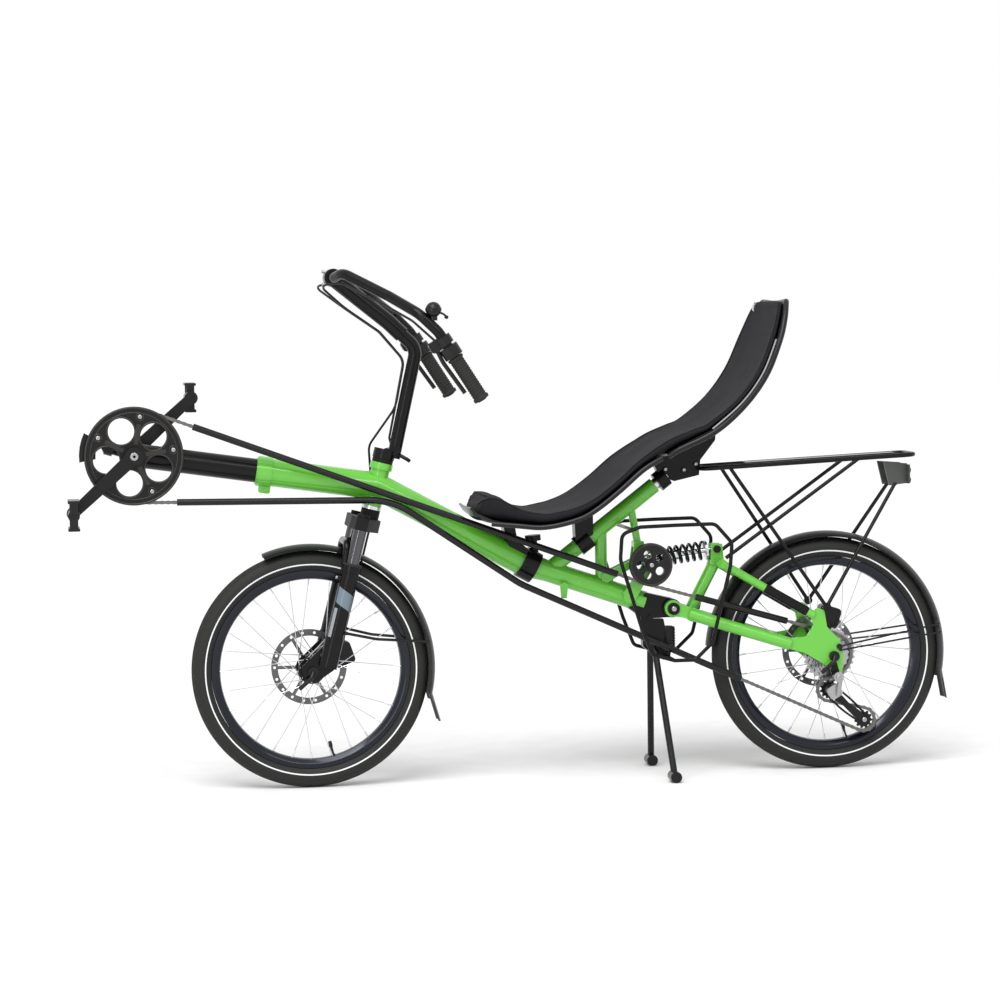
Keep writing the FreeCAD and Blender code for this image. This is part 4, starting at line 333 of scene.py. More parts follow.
def frame_about(axis):
    """Two unit vectors square to an axis and to each other."""
    axis = axis.normalized()
    start = Vector((0, 0, 1)) if abs(axis.z) < 0.9 else Vector((1, 0, 0))
    first = axis.cross(start).normalized()
    return first, axis.cross(first)


class Form:
    """Collects the rings, tubes and blocks of one piece and makes its mesh."""

    def __init__(self):
        """Starts with nothing in it."""
        self.points = []
        self.faces = []

    def rings(self, rings, loop=False, caps=True):
        """Skins rings of equally many points, one after another."""
        first = len(self.points)
        size = len(rings[0])
        for ring in rings:
            self.points.extend(ring)
        count = len(rings)
        for row in range(count if loop else count - 1):
            low = first + row * size
            high = first + (row + 1) % count * size
            for i in range(size):
                j = (i + 1) % size
                self.faces.append((low + i, low + j, high + j, high + i))
        if caps and not loop:
            self.faces.append(tuple(reversed(range(first, first + size))))
            last = first + (count - 1) * size
            self.faces.append(tuple(range(last, last + size)))

    def lathe(self, centre, axis, profile, steps=32, loop=False):
        """Turns (along, radius) points about an axis; loop joins the last point to the first."""
        axis = axis.normalized()
        u, v = frame_about(axis)
        rings = []
        for along, radius in profile:
            ring = []
            for i in range(steps):
                angle = 2 * math.pi * i / steps
                ring.append(centre + axis * along + (u * math.cos(angle) + v * math.sin(angle)) * radius)
            rings.append(ring)
        self.rings(rings, loop=loop)

    def tube(self, points, radius, sides=10, loop=False):
        """A round tube through points."""
        count = len(points)
        rings = []
        u = None
        for index, point in enumerate(points):
            ahead = points[(index + 1) % count] if loop or index < count - 1 else point
            behind = points[index - 1] if loop or index > 0 else point
            run = (ahead - behind).normalized()
            if u is None:
                u = frame_about(run)[0]
            u = (u - run * u.dot(run)).normalized()
            v = run.cross(u)
            ring = []
            for i in range(sides):
                angle = 2 * math.pi * i / sides
                ring.append(point + (u * math.cos(angle) + v * math.sin(angle)) * radius)
            rings.append(ring)
        self.rings(rings, loop=loop)

    def block(self, middle, size, turn=None):
        """A box of three edge lengths, turned by a rotation matrix."""
        turn = turn or Matrix.Identity(3)
        rings = []
        for x in (-0.5, 0.5):
            rings.append([middle + turn @ Vector((x * size[0], y * size[1], z * size[2]))
                          for y, z in ((-0.5, -0.5), (0.5, -0.5), (0.5, 0.5), (-0.5, 0.5))])
        self.rings(rings)

    def bolt(self, place, axis, radius, height):
        """A cap screw's head standing on a surface, with its socket."""
        self.lathe(place, axis, ((-0.001, radius), (height * 0.8, radius), (height, radius * 0.84),
                                 (height, radius * 0.5), (height * 0.4, radius * 0.45)), steps=14)

    def piece(self, name, material, body, replaced=(), sharp=35):
        """Makes the object, gives it its finish and lets it ride on its CAD body."""
        mesh = bpy.data.meshes.new(name)
        mesh.from_pydata([tuple(p) for p in self.points], [], self.faces)
        mesh.validate()
        mesh.shade_smooth()
        mesh.set_sharp_from_angle(angle=math.radians(sharp))
        mesh.materials.append(MATERIALS[material])
        item = bpy.data.objects.new(name, mesh)
        scene.collection.objects.link(item)
        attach(item, body)
        if replaced:
            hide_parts(*replaced)
        return item


def smooth_path(points, steps=8):
    """A smooth curve through points, by Catmull and Rom's rule."""
    path = []
    last = len(points) - 1
    for i in range(last):
        a, b, c, e = points[max(i - 1, 0)], points[i], points[i + 1], points[min(i + 2, last)]
        for step in range(steps):
            t = step / steps
            path.append(0.5 * (2 * b + (c - a) * t + (2 * a - 5 * b + 4 * c - e) * t * t
                               + (3 * b - a - 3 * c + e) * t ** 3))
    path.append(points[-1])
    return path


# ---------------------------------------------------------------- wheels

TYRE_STEPS = 360
RIM_GAP, TYRE_LIFT, BEAD_SIDE = 0.0006, 0.0002, 0.0125
STRIPE_FROM, STRIPE_TO, STRIPE_SIDE = 98.0, 105.0, 0.02
GROOVE, GROOVE_FROM, GROOVE_TO = 0.0013, 11, 15.2
SIPE_FROM, SIPE_TO, SIPE_SLANT, SIPE_SPACING, SIPE_WIDTH = 21, 47, 8, 6, 2
# angles about the tyre's section, from the middle of its tread, in degrees
TYRE_ANGLES = (0, 3, 10, 11.5, 15, 16.5, 22, 28, 34, 40, 46, 50, 58, 68, 80, 90, STRIPE_FROM, STRIPE_TO,
               114, 124, 134)


def tyre(name, centre, body, node):
    """A tyre with two round grooves, slanted side grooves and a reflective stripe on each side."""
    middle_radius = WHEEL_RADIUS - TYRE_RADIUS - TYRE_LIFT
    angles = [-a for a in reversed(TYRE_ANGLES[1:])] + list(TYRE_ANGLES)
    rings = []
    for i in range(TYRE_STEPS):
        turn = 2 * math.pi * i / TYRE_STEPS
        out = Vector((math.cos(turn), 0, math.sin(turn)))
        ring = []
        for a in angles:
            size = abs(a)
            sunk = GROOVE_FROM <= size <= GROOVE_TO
            slant = int(size / SIPE_SLANT + (2 if a < 0 else 0))
            if SIPE_FROM <= size <= SIPE_TO:
                sunk = (i + slant) % SIPE_SPACING < SIPE_WIDTH
            radius = TYRE_RADIUS - (GROOVE if sunk else 0)
            angle = math.radians(a)
            ring.append(centre + out * (middle_radius + radius * math.cos(angle))
                        + ACROSS * radius * math.sin(angle))
        for side in (LEFT, RIGHT):
            ring.append(centre + out * (RIM_RADIUS + RIM_GAP) + ACROSS * side * BEAD_SIDE)
        rings.append(ring)
    form = Form()
    form.rings(rings, loop=True)
    item = form.piece(name, "tyre", body, replaced=(node,), sharp=28)
    item.data.materials.append(MATERIALS["reflective_white"])
    low = middle_radius + TYRE_RADIUS * math.cos(math.radians(STRIPE_TO))
    high = middle_radius + TYRE_RADIUS * math.cos(math.radians(STRIPE_FROM))
    for face in item.data.polygons:
        offset = face.center - centre
        radius = math.hypot(offset.x, offset.z)
        if low < radius < high and abs(offset.y) > STRIPE_SIDE:
            face.material_index = 1


# columns: distance from the wheel's middle plane, radius
RIM_HALF = ((0.0125, 0.2085), (0.015, 0.2088), (0.0149, 0.203), (0.0128, 0.1985), (0.0085, 0.1912),
            (0.003, 0.1894))
RIM_WELL = ((-0.0115, 0.203), (0.0115, 0.203))


def rim(name, centre, body, node):
    """A deep black rim with hooked edges."""
    profile = RIM_HALF + tuple((-across, radius) for across, radius in reversed(RIM_HALF)) + RIM_WELL
    form = Form()
    form.lathe(centre, ACROSS, profile, steps=128, loop=True)
    # the rim's finish carries a slight blue tint as a painted reflection
    form.piece(name, "rim_black", body, replaced=(node,), sharp=25)


SPOKES, SPOKE_RADIUS, SPOKE_LEAN = 28, 0.0009, 70
FLANGE_SIDE, FLANGE_HOLES, FLANGE_HALF = 0.029, 0.025, 0.0022
RIM_HOLES, RIM_HOLES_SIDE, ELBOW, NIPPLE_LENGTH = 0.1935, 0.003, 0.0028, 0.017
VALVE_ANGLE, VALVE_FOOT = 360 * 0.5 / SPOKES + 250, 0.190
# columns: distance along the axis, radius
SPOKE_HEAD = ((-0.0008, 0.0019), (0.0008, 0.0019))
NIPPLE = ((0, 0.0016), (0.002, 0.0019), (0.016, 0.0019))
VALVE_STEM = ((-0.002, 0.0045), (0.003, 0.0042), (0.0035, 0.003), (0.018, 0.003))
VALVE_CAP = ((0.018, 0.0035), (0.020, 0.0041), (0.029, 0.0039), (0.031, 0.003))


def spokes(name, centre, body):
    """Crossed spokes with nipples at the rim, and the valve."""
    wires, nipples = Form(), Form()
    for index in range(SPOKES):
        side = LEFT if index % 2 == 0 else RIGHT
        lean = 1 if index % 4 < 2 else -1
        rim_angle = 360 * index / SPOKES
        foot = round_point(centre, FLANGE_HOLES, rim_angle + lean * SPOKE_LEAN,
                           side * (FLANGE_SIDE + lean * FLANGE_HALF))
        tip = round_point(centre, RIM_HOLES, rim_angle, side * RIM_HOLES_SIDE)
        run = (tip - foot).normalized()
        elbow = foot - ACROSS * side * lean * ELBOW
        wires.tube([elbow, foot, tip], SPOKE_RADIUS, sides=6)
        wires.lathe(elbow, ACROSS, SPOKE_HEAD, steps=8)
        nipples.lathe(tip - run * NIPPLE_LENGTH, run, NIPPLE, steps=8)
    wires.piece(name + "_spokes", "silver", body)
    nipples.piece(name + "_nipples", "silver", body)
    foot = round_point(centre, VALVE_FOOT, VALVE_ANGLE)
    inward = (centre - foot).normalized()
    valve = Form()
    valve.lathe(foot, inward, VALVE_STEM, steps=12)
    valve.lathe(foot, inward, VALVE_CAP, steps=12)
    valve.piece(name + "_valve", "rubber", body)


# columns: distance towards the drive side, radius
HUB_SHELL = (
    (0.037, 0.0145), (0.0315, 0.0165), (0.0315, 0.0285), (0.0275, 0.0288), (0.0270, 0.0195), (0.018, 0.0150),
    (0, 0.0140), (-0.018, 0.0150), (-0.0270, 0.0195), (-0.0275, 0.0288), (-0.0315, 0.0285), (-0.0315, 0.0170))
HUB_BORE, DRIVE_COLLAR, DISC_COLLAR = 0.0085, 0.0135, 0.0165
DISC_BOLTS, DISC_BOLT_RING, DISC_THICKNESS = 6, 0.0185, 0.0020


def hub(name, centre, body, drive_end, disc_end):
    """A waisted hub shell with flanges, end collars and the disc's six bolts."""
    shell = Form()
    profile = (((drive_end, HUB_BORE), (drive_end, DRIVE_COLLAR)) + HUB_SHELL
               + ((-disc_end, DISC_COLLAR), (-disc_end, HUB_BORE)))
    shell.lathe(centre, ACROSS * DRIVE, profile, steps=48)
    shell.piece(name, "dark_alloy", body, sharp=30)
    bolts = Form()
    for index in range(DISC_BOLTS):
        foot = round_point(centre, DISC_BOLT_RING, 360 / DISC_BOLTS * index + 15,
                           BRAKE * (disc_end + DISC_THICKNESS))
        bolts.bolt(foot, ACROSS * BRAKE, 0.0026, 0.0022)
    bolts.piece(name + "_disc_bolts", "silver", body)


# columns: name, axle, hub's drive end, disc's inner face
WHEELS = (("front", FRONT_AXLE, 0.0495, 0.0385), ("rear", REAR_AXLE, 0.034, 0.0560))


def wheels():
    """Both wheels with their tyres, rims, spokes and hubs."""
    for name, axle, drive_end, disc_face in WHEELS:
        body = name + "_wheel"
        tyre(name + "_tyre_tread", axle, body, name + "_tyre")
        rim(name + "_rim", axle, body, name + "_wheel")
        spokes(name, axle, body)
        hub(name + "_hub", axle, body, drive_end, disc_face)


# ---------------------------------------------------------------- chain

PITCH = 0.0127
CHAIN_LIFT = 0.0049
STRAIGHT_STEP, BENT_STEP = 0.004, 0.002
PLATE_END, PLATE_WAIST, PLATE_THICKNESS = 0.0041, 0.0030, 0.0008
INNER_PLATE, OUTER_PLATE = 0.0017, 0.0026
# columns: half length, radius
PIN, ROLLER = (0.0032, 0.0017), (0.0012, 0.0038)
RETURN_BEND = 0.160
RETURN_FRONT = HEAD_LOW + Vector((-0.0335, 0, 0.015))
RETURN_REAR = at(0.671, 0.4225)
# columns: pulley's centre, chain's radius about it, +1 where the chain turns counterclockwise
PULLEYS = (
    (BOTTOM_BRACKET, 0.092 + CHAIN_LIFT, 1),
    (IDLER, 0.037 + CHAIN_LIFT, -1),
    (REAR_AXLE, 0.041 + CHAIN_LIFT, 1),
    (JOCKEY_UPPER, 0.020 + CHAIN_LIFT, -1),
    (JOCKEY_LOWER, 0.020 + CHAIN_LIFT, 1),
    (RETURN_REAR + Vector((-RETURN_BEND * 0.5, 0, RETURN_BEND * 0.86)), RETURN_BEND, 1),
    (RETURN_FRONT + Vector((RETURN_BEND * 0.28, 0, -RETURN_BEND * 0.96)), RETURN_BEND, -1),
)


def chain_route():
    """Points close together along the chain's closed route."""
    runs = []
    for (a, ra, sa), (b, rb, sb) in zip(PULLEYS, PULLEYS[1:] + PULLEYS[:1]):
        gap = b - a
        angle = math.atan2(gap.z, gap.x) + math.asin((sa * ra - sb * rb) / gap.length)
        right = Vector((math.sin(angle), 0, -math.cos(angle)))
        runs.append((a + right * (sa * ra), b + right * (sb * rb)))
    points = []
    for index, (start, end) in enumerate(runs):
        centre, radius, sense = PULLEYS[(index + 1) % len(PULLEYS)]
        leave = runs[(index + 1) % len(runs)][0]
        first = math.atan2(end.z - centre.z, end.x - centre.x)
        turn = (math.atan2(leave.z - centre.z, leave.x - centre.x) - first) * sense % (2 * math.pi)
        straight = max(int((end - start).length / STRAIGHT_STEP), 1)
        points += [start.lerp(end, step / straight) for step in range(straight)]
        bent = max(int(radius * turn / BENT_STEP), 2)
        for step in range(bent):
            angle = first + sense * turn * step / bent
            points.append(centre + Vector((math.cos(angle), 0, math.sin(angle))) * radius)
    return points


def evenly_along(points, count):
    """Points at equal distances along a closed route."""
    lengths = [0.0]
    for a, b in zip(points, points[1:] + points[:1]):
        lengths.append(lengths[-1] + (b - a).length)
    places = []
    index = 0
    for number in range(count):
        target = lengths[-1] * number / count
        while lengths[index + 1] < target:
            index += 1
        share = (target - lengths[index]) / (lengths[index + 1] - lengths[index])
        places.append(points[index].lerp(points[(index + 1) % len(points)], share))
    return places


def chain_plate(form, a, b, y):
    """One side plate, waisted between its two round ends."""
    run = (b - a).normalized()
    across = Vector((-run.z, 0, run.x))
    outline = []
    for end, outward, side in ((b, run, across), (a, -run, -across)):
        for degrees in (-70, -35, 0, 35, 70):
            angle = math.radians(degrees)
            outline.append(end + outward * math.cos(angle) * PLATE_END + side * math.sin(angle) * PLATE_END)
        outline.append((a + b) / 2 + side * PLATE_WAIST)
    form.rings([[p + ACROSS * (y + half * PLATE_THICKNESS) for p in outline] for half in (-0.5, 0.5)])


def chain():
    """The chain's links, one by one along its route."""
    route = chain_route()
    length = sum((b - a).length for a, b in zip(route, route[1:] + route[:1]))
    count = 2 * round(length / PITCH / 2)
    pins = evenly_along(route, count)
    form = Form()
    for index, (a, b) in enumerate(zip(pins, pins[1:] + pins[:1])):
        plate_side = OUTER_PLATE if index % 2 else INNER_PLATE
        for side in (LEFT, RIGHT):
            chain_plate(form, a, b, CHAIN_LINE + side * plate_side)
        for (half, radius), steps in ((PIN, 8), (ROLLER, 10)):
            form.lathe(a, ACROSS, ((CHAIN_LINE - half, radius), (CHAIN_LINE + half, radius)), steps=steps)
    form.piece("chain_links", "chain_steel", "frame", replaced=("chain",), sharp=40)


# ---------------------------------------------------------------- seat

# columns: place ahead of the rear axle, height under the pad, half width, thickness
SEAT_PAD = (
    (0.7795, 0.559, 0.080, 0.052), (0.773, 0.556, 0.093, 0.056), (0.760, 0.5515, 0.110, 0.060),
    (0.742, 0.5485, 0.124, 0.062), (0.724, 0.546, 0.131, 0.059), (0.706, 0.544, 0.136, 0.049),
    (0.688, 0.542, 0.141, 0.038), (0.664, 0.5395, 0.147, 0.032), (0.632, 0.537, 0.152, 0.029),
    (0.598, 0.542, 0.158, 0.028), (0.563, 0.551, 0.162, 0.026), (0.520, 0.573, 0.164, 0.021),
    (0.470, 0.611, 0.162, 0.018), (0.420, 0.653, 0.156, 0.020), (0.3736, 0.6792, 0.146, 0.0265),
    (0.3560, 0.6888, 0.143, 0.0235))
BACK_PAD = (
    (0.3920, 0.6690, 0.143, 0.0185), (0.3724, 0.6798, 0.145, 0.0262), (0.342, 0.697, 0.148, 0.026),
    (0.305, 0.714, 0.153, 0.022), (0.268, 0.732, 0.156, 0.019), (0.205, 0.786, 0.162, 0.015),
    (0.157, 0.850, 0.162, 0.015), (0.126, 0.922, 0.154, 0.015), (0.112, 0.968, 0.137, 0.013),
    (0.103, 1.005, 0.109, 0.012))
# columns: place ahead of the rear axle, height of the shell's underside, half width
SEAT_SHELL = (
    (0.774, 0.5455, 0.104), (0.742, 0.548, 0.124), (0.692, 0.542, 0.140), (0.632, 0.537, 0.152),
    (0.563, 0.551, 0.162), (0.520, 0.573, 0.164), (0.470, 0.611, 0.162), (0.420, 0.653, 0.156),
    (0.380, 0.676, 0.148))
BACK_SHELL = (
    (0.366, 0.683, 0.140), (0.342, 0.697, 0.148), (0.268, 0.732, 0.156), (0.205, 0.786, 0.162),
    (0.157, 0.850, 0.162), (0.126, 0.922, 0.154), (0.112, 0.968, 0.136), (0.104, 1.002, 0.108))
PAD_GAP, SEAT_DISH, DISH_HALF = 0.0055, 0.009, 0.160
PAD_SIDES, PAD_STEPS = 48, 6
PAD_FULLNESS, END_FULLNESS, END_PULL = 3.4, 2.5, 0.014
SIDE_SEAM = 2
SEAM_DEPTH, PIPING_RADIUS = 0.0016, 0.0016
PRESSURE, CLOTH_QUALITY, PUFF_FRAMES, PUFF_CAP = 4, 4, 20, 0.0045
# columns: how fine the cover's unevenness is, its height
UNEVENNESS = ((11, 0.0010), (37, 0.0004))
# how far from its front and its rear end each pad starts to thin
SEAT_ENDS, BACK_ENDS = (0.024, 0.003), (0.003, 0.008)
SEAT_SEAMS = (34,)


def dish(side):
    """How far the dished seat rises at a distance from its middle."""
    return SEAT_DISH * (side / DISH_HALF) ** 2


def seat_normal(before, after):
    """The direction out of the seat's face between two stations."""
    run = Vector((after[0] - before[0], 0, after[1] - before[1])).normalized()
    return Vector((run.z, 0, -run.x))


def end_share(distance, reach):
    """From 1 where a pad has its full thickness to nearly 0 at its rounded end."""
    if distance >= reach:
        return 1.0
    return max(1 - (1 - distance / reach) ** END_FULLNESS, 0.002) ** (1 / END_FULLNESS)


def pad_rings(table, front_reach, rear_reach):
    """Sections of a crowned pad, square to the seat's face, rounded at both ends."""
    stations = smooth_path([Vector(row) for row in table], PAD_STEPS)
    places = [at(ahead, up) for ahead, up, half, thickness in stations]
    travelled = [0.0]
    for a, b in zip(places, places[1:]):
        travelled.append(travelled[-1] + (b - a).length)
    rings = []
    for index, (ahead, up, half, thickness) in enumerate(stations):
        normal = seat_normal(stations[max(index - 1, 0)], stations[min(index + 1, len(stations) - 1)])
        share = (end_share(travelled[index], front_reach)
                 * end_share(travelled[-1] - travelled[index], rear_reach))
        half -= END_PULL * (1 - share)
        ring = []
        for step in range(PAD_SIDES):
            angle = 2 * math.pi * step / PAD_SIDES
            across = math.cos(angle)
            rise = max(1 - abs(across) ** PAD_FULLNESS, 0) ** (1 / PAD_FULLNESS)
            rise = math.copysign(rise * share, math.sin(angle))
            height = PAD_GAP + thickness / 2 * (1 + rise) + dish(across * half)
            ring.append(places[index] + normal * height + ACROSS * across * half)
        rings.append(ring)
    return rings


def puff(pad, sewn):
    """Fills the cover with air pressure as a cloth, held along its seams and against the shell."""
    start = [vertex.co.copy() for vertex in pad.data.vertices]
    group = pad.vertex_groups.new(name="sewn")
    group.add(sewn, 1.0, "REPLACE")
    cloth = pad.modifiers.new("cloth", "CLOTH")
    cloth.settings.vertex_group_mass = group.name
    cloth.settings.effector_weights.gravity = 0
    cloth.settings.use_pressure = True
    cloth.settings.uniform_pressure_force = PRESSURE
    cloth.settings.quality = CLOTH_QUALITY
    for frame_number in range(1, PUFF_FRAMES + 1):
        scene.frame_set(frame_number)
    shaped = bpy.data.meshes.new_from_object(pad.evaluated_get(bpy.context.evaluated_depsgraph_get()))
    pad.modifiers.clear()
    pad.data = shaped
    for vertex, first in zip(shaped.vertices, start):
        move = vertex.co - first
        if move.length > PUFF_CAP:
            vertex.co = first + move.normalized() * PUFF_CAP


def soft_pad(name, node, table, reaches, seams):
    """A crowned foam pad with sewn edges and cross seams, puffed as cloth, in place of its CAD solid."""
    rings = pad_rings(table, *reaches)
    edge_rows = (SIDE_SEAM, PAD_SIDES // 2 - SIDE_SEAM)
    sewn = []
    for row, ring in enumerate(rings):
        middle = sum(ring, Vector()) / PAD_SIDES
        for step in range(PAD_SIDES):
            under = step > PAD_SIDES // 2 + 2 and step < PAD_SIDES - 2
            stitched = step in edge_rows or row in seams
            if under or stitched or row in (0, len(rings) - 1):
                sewn.append(row * PAD_SIDES + step)
            if stitched and not under:
                ring[step] += (middle - ring[step]).normalized() * SEAM_DEPTH
    form = Form()
    form.rings(rings)
    pad = form.piece(name, "seat_fabric", "frame", replaced=(node,), sharp=180)
    puff(pad, sewn)
    piping = Form()
    for step in edge_rows:
        line = [pad.data.vertices[row * PAD_SIDES + step].co.copy() for row in range(1, len(rings) - 1)]
        piping.tube(line, PIPING_RADIUS, sides=8)
    smoother = pad.modifiers.new("smoother", "SUBSURF")
    smoother.levels = smoother.render_levels = 1
    finer = bpy.data.meshes.new_from_object(pad.evaluated_get(bpy.context.evaluated_depsgraph_get()))
    pad.modifiers.clear()
    pad.data = finer
    for vertex in finer.vertices:
        wave = sum(noise.noise(vertex.co * fineness) * height for fineness, height in UNEVENNESS)
        vertex.co += vertex.normal * wave
    finer.shade_smooth()
    piping.piece(name + "_piping", "seat_fabric", "frame")


def shell_edge(stations, side, height):
    """Points along one side edge of a seat shell, at a height above its underside."""
    points = []
    for index, (ahead, up, half) in enumerate(stations):
        normal = seat_normal(stations[max(index - 1, 0)], stations[min(index + 1, len(stations) - 1)])
        points.append(at(ahead, up, side * half) + normal * (height + dish(half)))
    return points


def end_edge(station, side_shares, out, rise):
    """Points across a shell's end edge, moved out along the seat and up."""
    ahead, up, half = station
    return [at(ahead + out, up + rise + dish(half * share), half * share) for share in side_shares]


TRIM_HEIGHT, SEAT_TRIM_RADIUS, BACK_TRIM_RADIUS = 0.0015, 0.0058, 0.0065
TOP_SHARES, TOP_OUT, TOP_RISE = (0.8, 0.3, -0.3, -0.8), -0.001, 0.001
# place and thickness of the pale painted highlight line above the back shell's trim
HIGHLIGHT_LINE_HEIGHT, HIGHLIGHT_LINE_RADIUS = 0.0062, 0.0019
CLIP_SIZE, CLIP_TILT = (0.018, 0.012, 0.018), math.radians(-12)
# columns: distance along the axis, radius
CLIP_SCREW = ((0, 0.0072), (0.002, 0.0078), (0.0035, 0.0055), (0.0035, 0.0001))


def shell_trim():
    """The rolled edges of the two shells, a pale painted highlight line above the back's, and the clip at its
    corner.
    """
    trim = Form()
    for side in (LEFT, RIGHT):
        trim.tube(smooth_path(shell_edge(SEAT_SHELL[1:], side, TRIM_HEIGHT)), SEAT_TRIM_RADIUS, sides=12)
    left = shell_edge(BACK_SHELL, LEFT, -TRIM_HEIGHT)
    right = shell_edge(BACK_SHELL, RIGHT, -TRIM_HEIGHT)
    top = end_edge(BACK_SHELL[-1], TOP_SHARES, TOP_OUT, TOP_RISE)
    trim.tube(smooth_path(left + top + right[::-1]), BACK_TRIM_RADIUS, sides=12)
    trim.piece("seat_trim", "black_plastic", "frame", sharp=60)
    # the pale line is a painted highlight along the back shell's rim
    line = Form()
    for side in (LEFT, RIGHT):
        line.tube(smooth_path(shell_edge(BACK_SHELL[2:6], side, HIGHLIGHT_LINE_HEIGHT)), HIGHLIGHT_LINE_RADIUS, sides=8)
    line.piece("back_highlight_line", "shell_edge", "frame")
    ahead, up, half = BACK_SHELL[-1]
    clip = Form()
    corner = at(ahead + 0.012, up - 0.008, RIGHT * (half - 0.006))
    clip.block(corner, CLIP_SIZE, Matrix.Rotation(CLIP_TILT, 3, "Y"))
    clip.lathe(corner + Vector((0.009, 0, 0.002)), Vector((1, 0, 0.2)), CLIP_SCREW, steps=20)
    clip.piece("corner_clip", "silver", "frame")


def seat():
    """The two foam pads and the trim of the shells beneath them."""
    soft_pad("seat_pad", "seat_cushion", SEAT_PAD, SEAT_ENDS, SEAT_SEAMS)
    soft_pad("back_pad", "back_cushion", BACK_PAD, BACK_ENDS, ())
    shell_trim()


# ---------------------------------------------------------------- bar

BAR_END = BAR_CLAMP + Vector((-0.275, 0, -0.250))
BAR_BEND = BAR_CLAMP + Vector((-0.190, 0, -0.115))
BAR_HALF = 0.239
GRIP_RIBS, FIRST_RIB, RIB_SPACING = 15, 0.006, 0.0056
# columns: distance from the bar's end or from the rib's start, radius
GRIP_COLLAR = ((-0.004, 0.0060), (-0.004, 0.0158), (-0.002, 0.0168), (0.002, 0.0168), (0.004, 0.0146))
GRIP_RIB = ((0, 0.0140), (0.001, 0.0149), (0.0036, 0.0149), (0.0046, 0.0140))
GRIP_FLANGE = ((0.092, 0.0150), (0.093, 0.0168), (0.0975, 0.0168), (0.098, 0.0114))
BAR_PLUG = ((-0.0062, 0.004), (-0.0062, 0.009), (-0.0038, 0.0115), (-0.002, 0.0115))


def grips():
    """Ribbed rubber grips with end plugs."""
    form, plugs = Form(), Form()
    for side in (LEFT, RIGHT):
        end = BAR_END + ACROSS * side * BAR_HALF
        toward = (BAR_BEND - BAR_END).normalized()
        profile = list(GRIP_COLLAR)
        for index in range(GRIP_RIBS):
            start = FIRST_RIB + index * RIB_SPACING
            profile += [(start + along, radius) for along, radius in GRIP_RIB]
        profile += GRIP_FLANGE
        form.lathe(end, toward, profile, steps=40)
        plugs.lathe(end, toward, BAR_PLUG, steps=24)
    form.piece("ribbed_grips", "rubber", "steering", replaced=("grips",), sharp=30)
    plugs.piece("bar_plugs", "black_plastic", "steering")


# columns: distance along the axis, radius
BELL_RING = ((-0.0035, 0.0158), (-0.003, 0.0167), (0.003, 0.0167), (0.0035, 0.0158))
LEVER_TIP = ((-0.003, 0.0018), (-0.001, 0.0038), (0.003, 0.0038), (0.005, 0.002))
LEVER_RADIUS = 0.0022


def bell():
    """The bell's striking lever and the ring about its dome."""
    middle = BAR_CLAMP + Vector((-0.181, BAR_HALF - 0.004, -0.070))
    form = Form()
    form.lathe(middle, Vector((0, 0, 1)), BELL_RING, steps=36)
    foot = middle + Vector((-0.012, 0.004, -0.006))
    bend = middle + Vector((-0.021, 0.005, -0.010))
    tip = middle + Vector((-0.025, 0.003, -0.015))
    form.tube(smooth_path([foot, bend, tip]), LEVER_RADIUS, sides=8)
    form.lathe(tip, Vector((-1, 0, -0.4)), LEVER_TIP, steps=14)
    form.piece("bell_lever", "black_plastic", "steering")


# ---------------------------------------------------------------- frame, fork and rear end

STAY_TOP = SHOCK_REAR + Vector((-0.004, 0, -0.029))
STAY_FOOT = REAR_AXLE + Vector((0.042, 0, 0.088))
STAY_TOP_SIDE, STAY_FOOT_SIDE = 0.042, 0.071
SLEEVE_FROM, SLEEVE_TO = 0.47, 0.93
SLEEVE_RADIUS, SLEEVE_MOUTH, SLEEVE_EDGE = 0.0101, 0.0090, 0.0006


def stay_sleeves():
    """Black sleeves on the lower half of the seat stays."""
    form = Form()
    for side in (LEFT, RIGHT):
        top, foot = STAY_TOP + ACROSS * side * STAY_TOP_SIDE, STAY_FOOT + ACROSS * side * STAY_FOOT_SIDE
        start, end = top.lerp(foot, SLEEVE_FROM), top.lerp(foot, SLEEVE_TO)
        length = (end - start).length
        profile = ((0, SLEEVE_MOUTH), (SLEEVE_EDGE, SLEEVE_RADIUS), (length - SLEEVE_EDGE, SLEEVE_RADIUS),
                   (length, SLEEVE_MOUTH))
        form.lathe(start, end - start, profile, steps=28)
    form.piece("stay_sleeves", "black_paint", "frame")


CUP_PROUD, CUP_HEIGHT, CUP_RADIUS, CUP_MOUTH, CUP_EDGE = 0.0002, 0.0075, 0.0213, 0.0195, 0.0003


def headset():
    """Bright bearing cups at both ends of the head tube."""
    form = Form()
    for low, high in ((-CUP_PROUD, CUP_HEIGHT), (HEAD_LENGTH - CUP_HEIGHT, HEAD_LENGTH + CUP_PROUD)):
        profile = ((0, CUP_MOUTH), (CUP_EDGE, CUP_RADIUS), (high - low - CUP_EDGE, CUP_RADIUS),
                   (high - low, CUP_MOUTH))
        form.lathe(head(low), HEAD_UP, profile, steps=40)
    form.piece("headset_cups", "silver", "frame")


# painted highlights on each fork slider: a grey-blue patch on its outer side and a pale stripe towards its
# lit front
PATCH_TOP, PATCH_LENGTH, PATCH_SLANT, PATCH_HALF = -0.176, 0.034, 0.45, math.radians(62)
HIGHLIGHT_STRIPE_GAP, HIGHLIGHT_STRIPE_LENGTH = 0.004, 0.090
HIGHLIGHT_STRIPE_AHEAD, HIGHLIGHT_STRIPE_HALF = math.radians(48), math.radians(14)
PATCH_LIFT, SEAL_FOOT = 0.0003, -0.1215
# columns: distance along the leg, radius
SEAL = ((-0.001, 0.0196), (0, 0.0206), (0.003, 0.0206), (0.004, 0.0150))


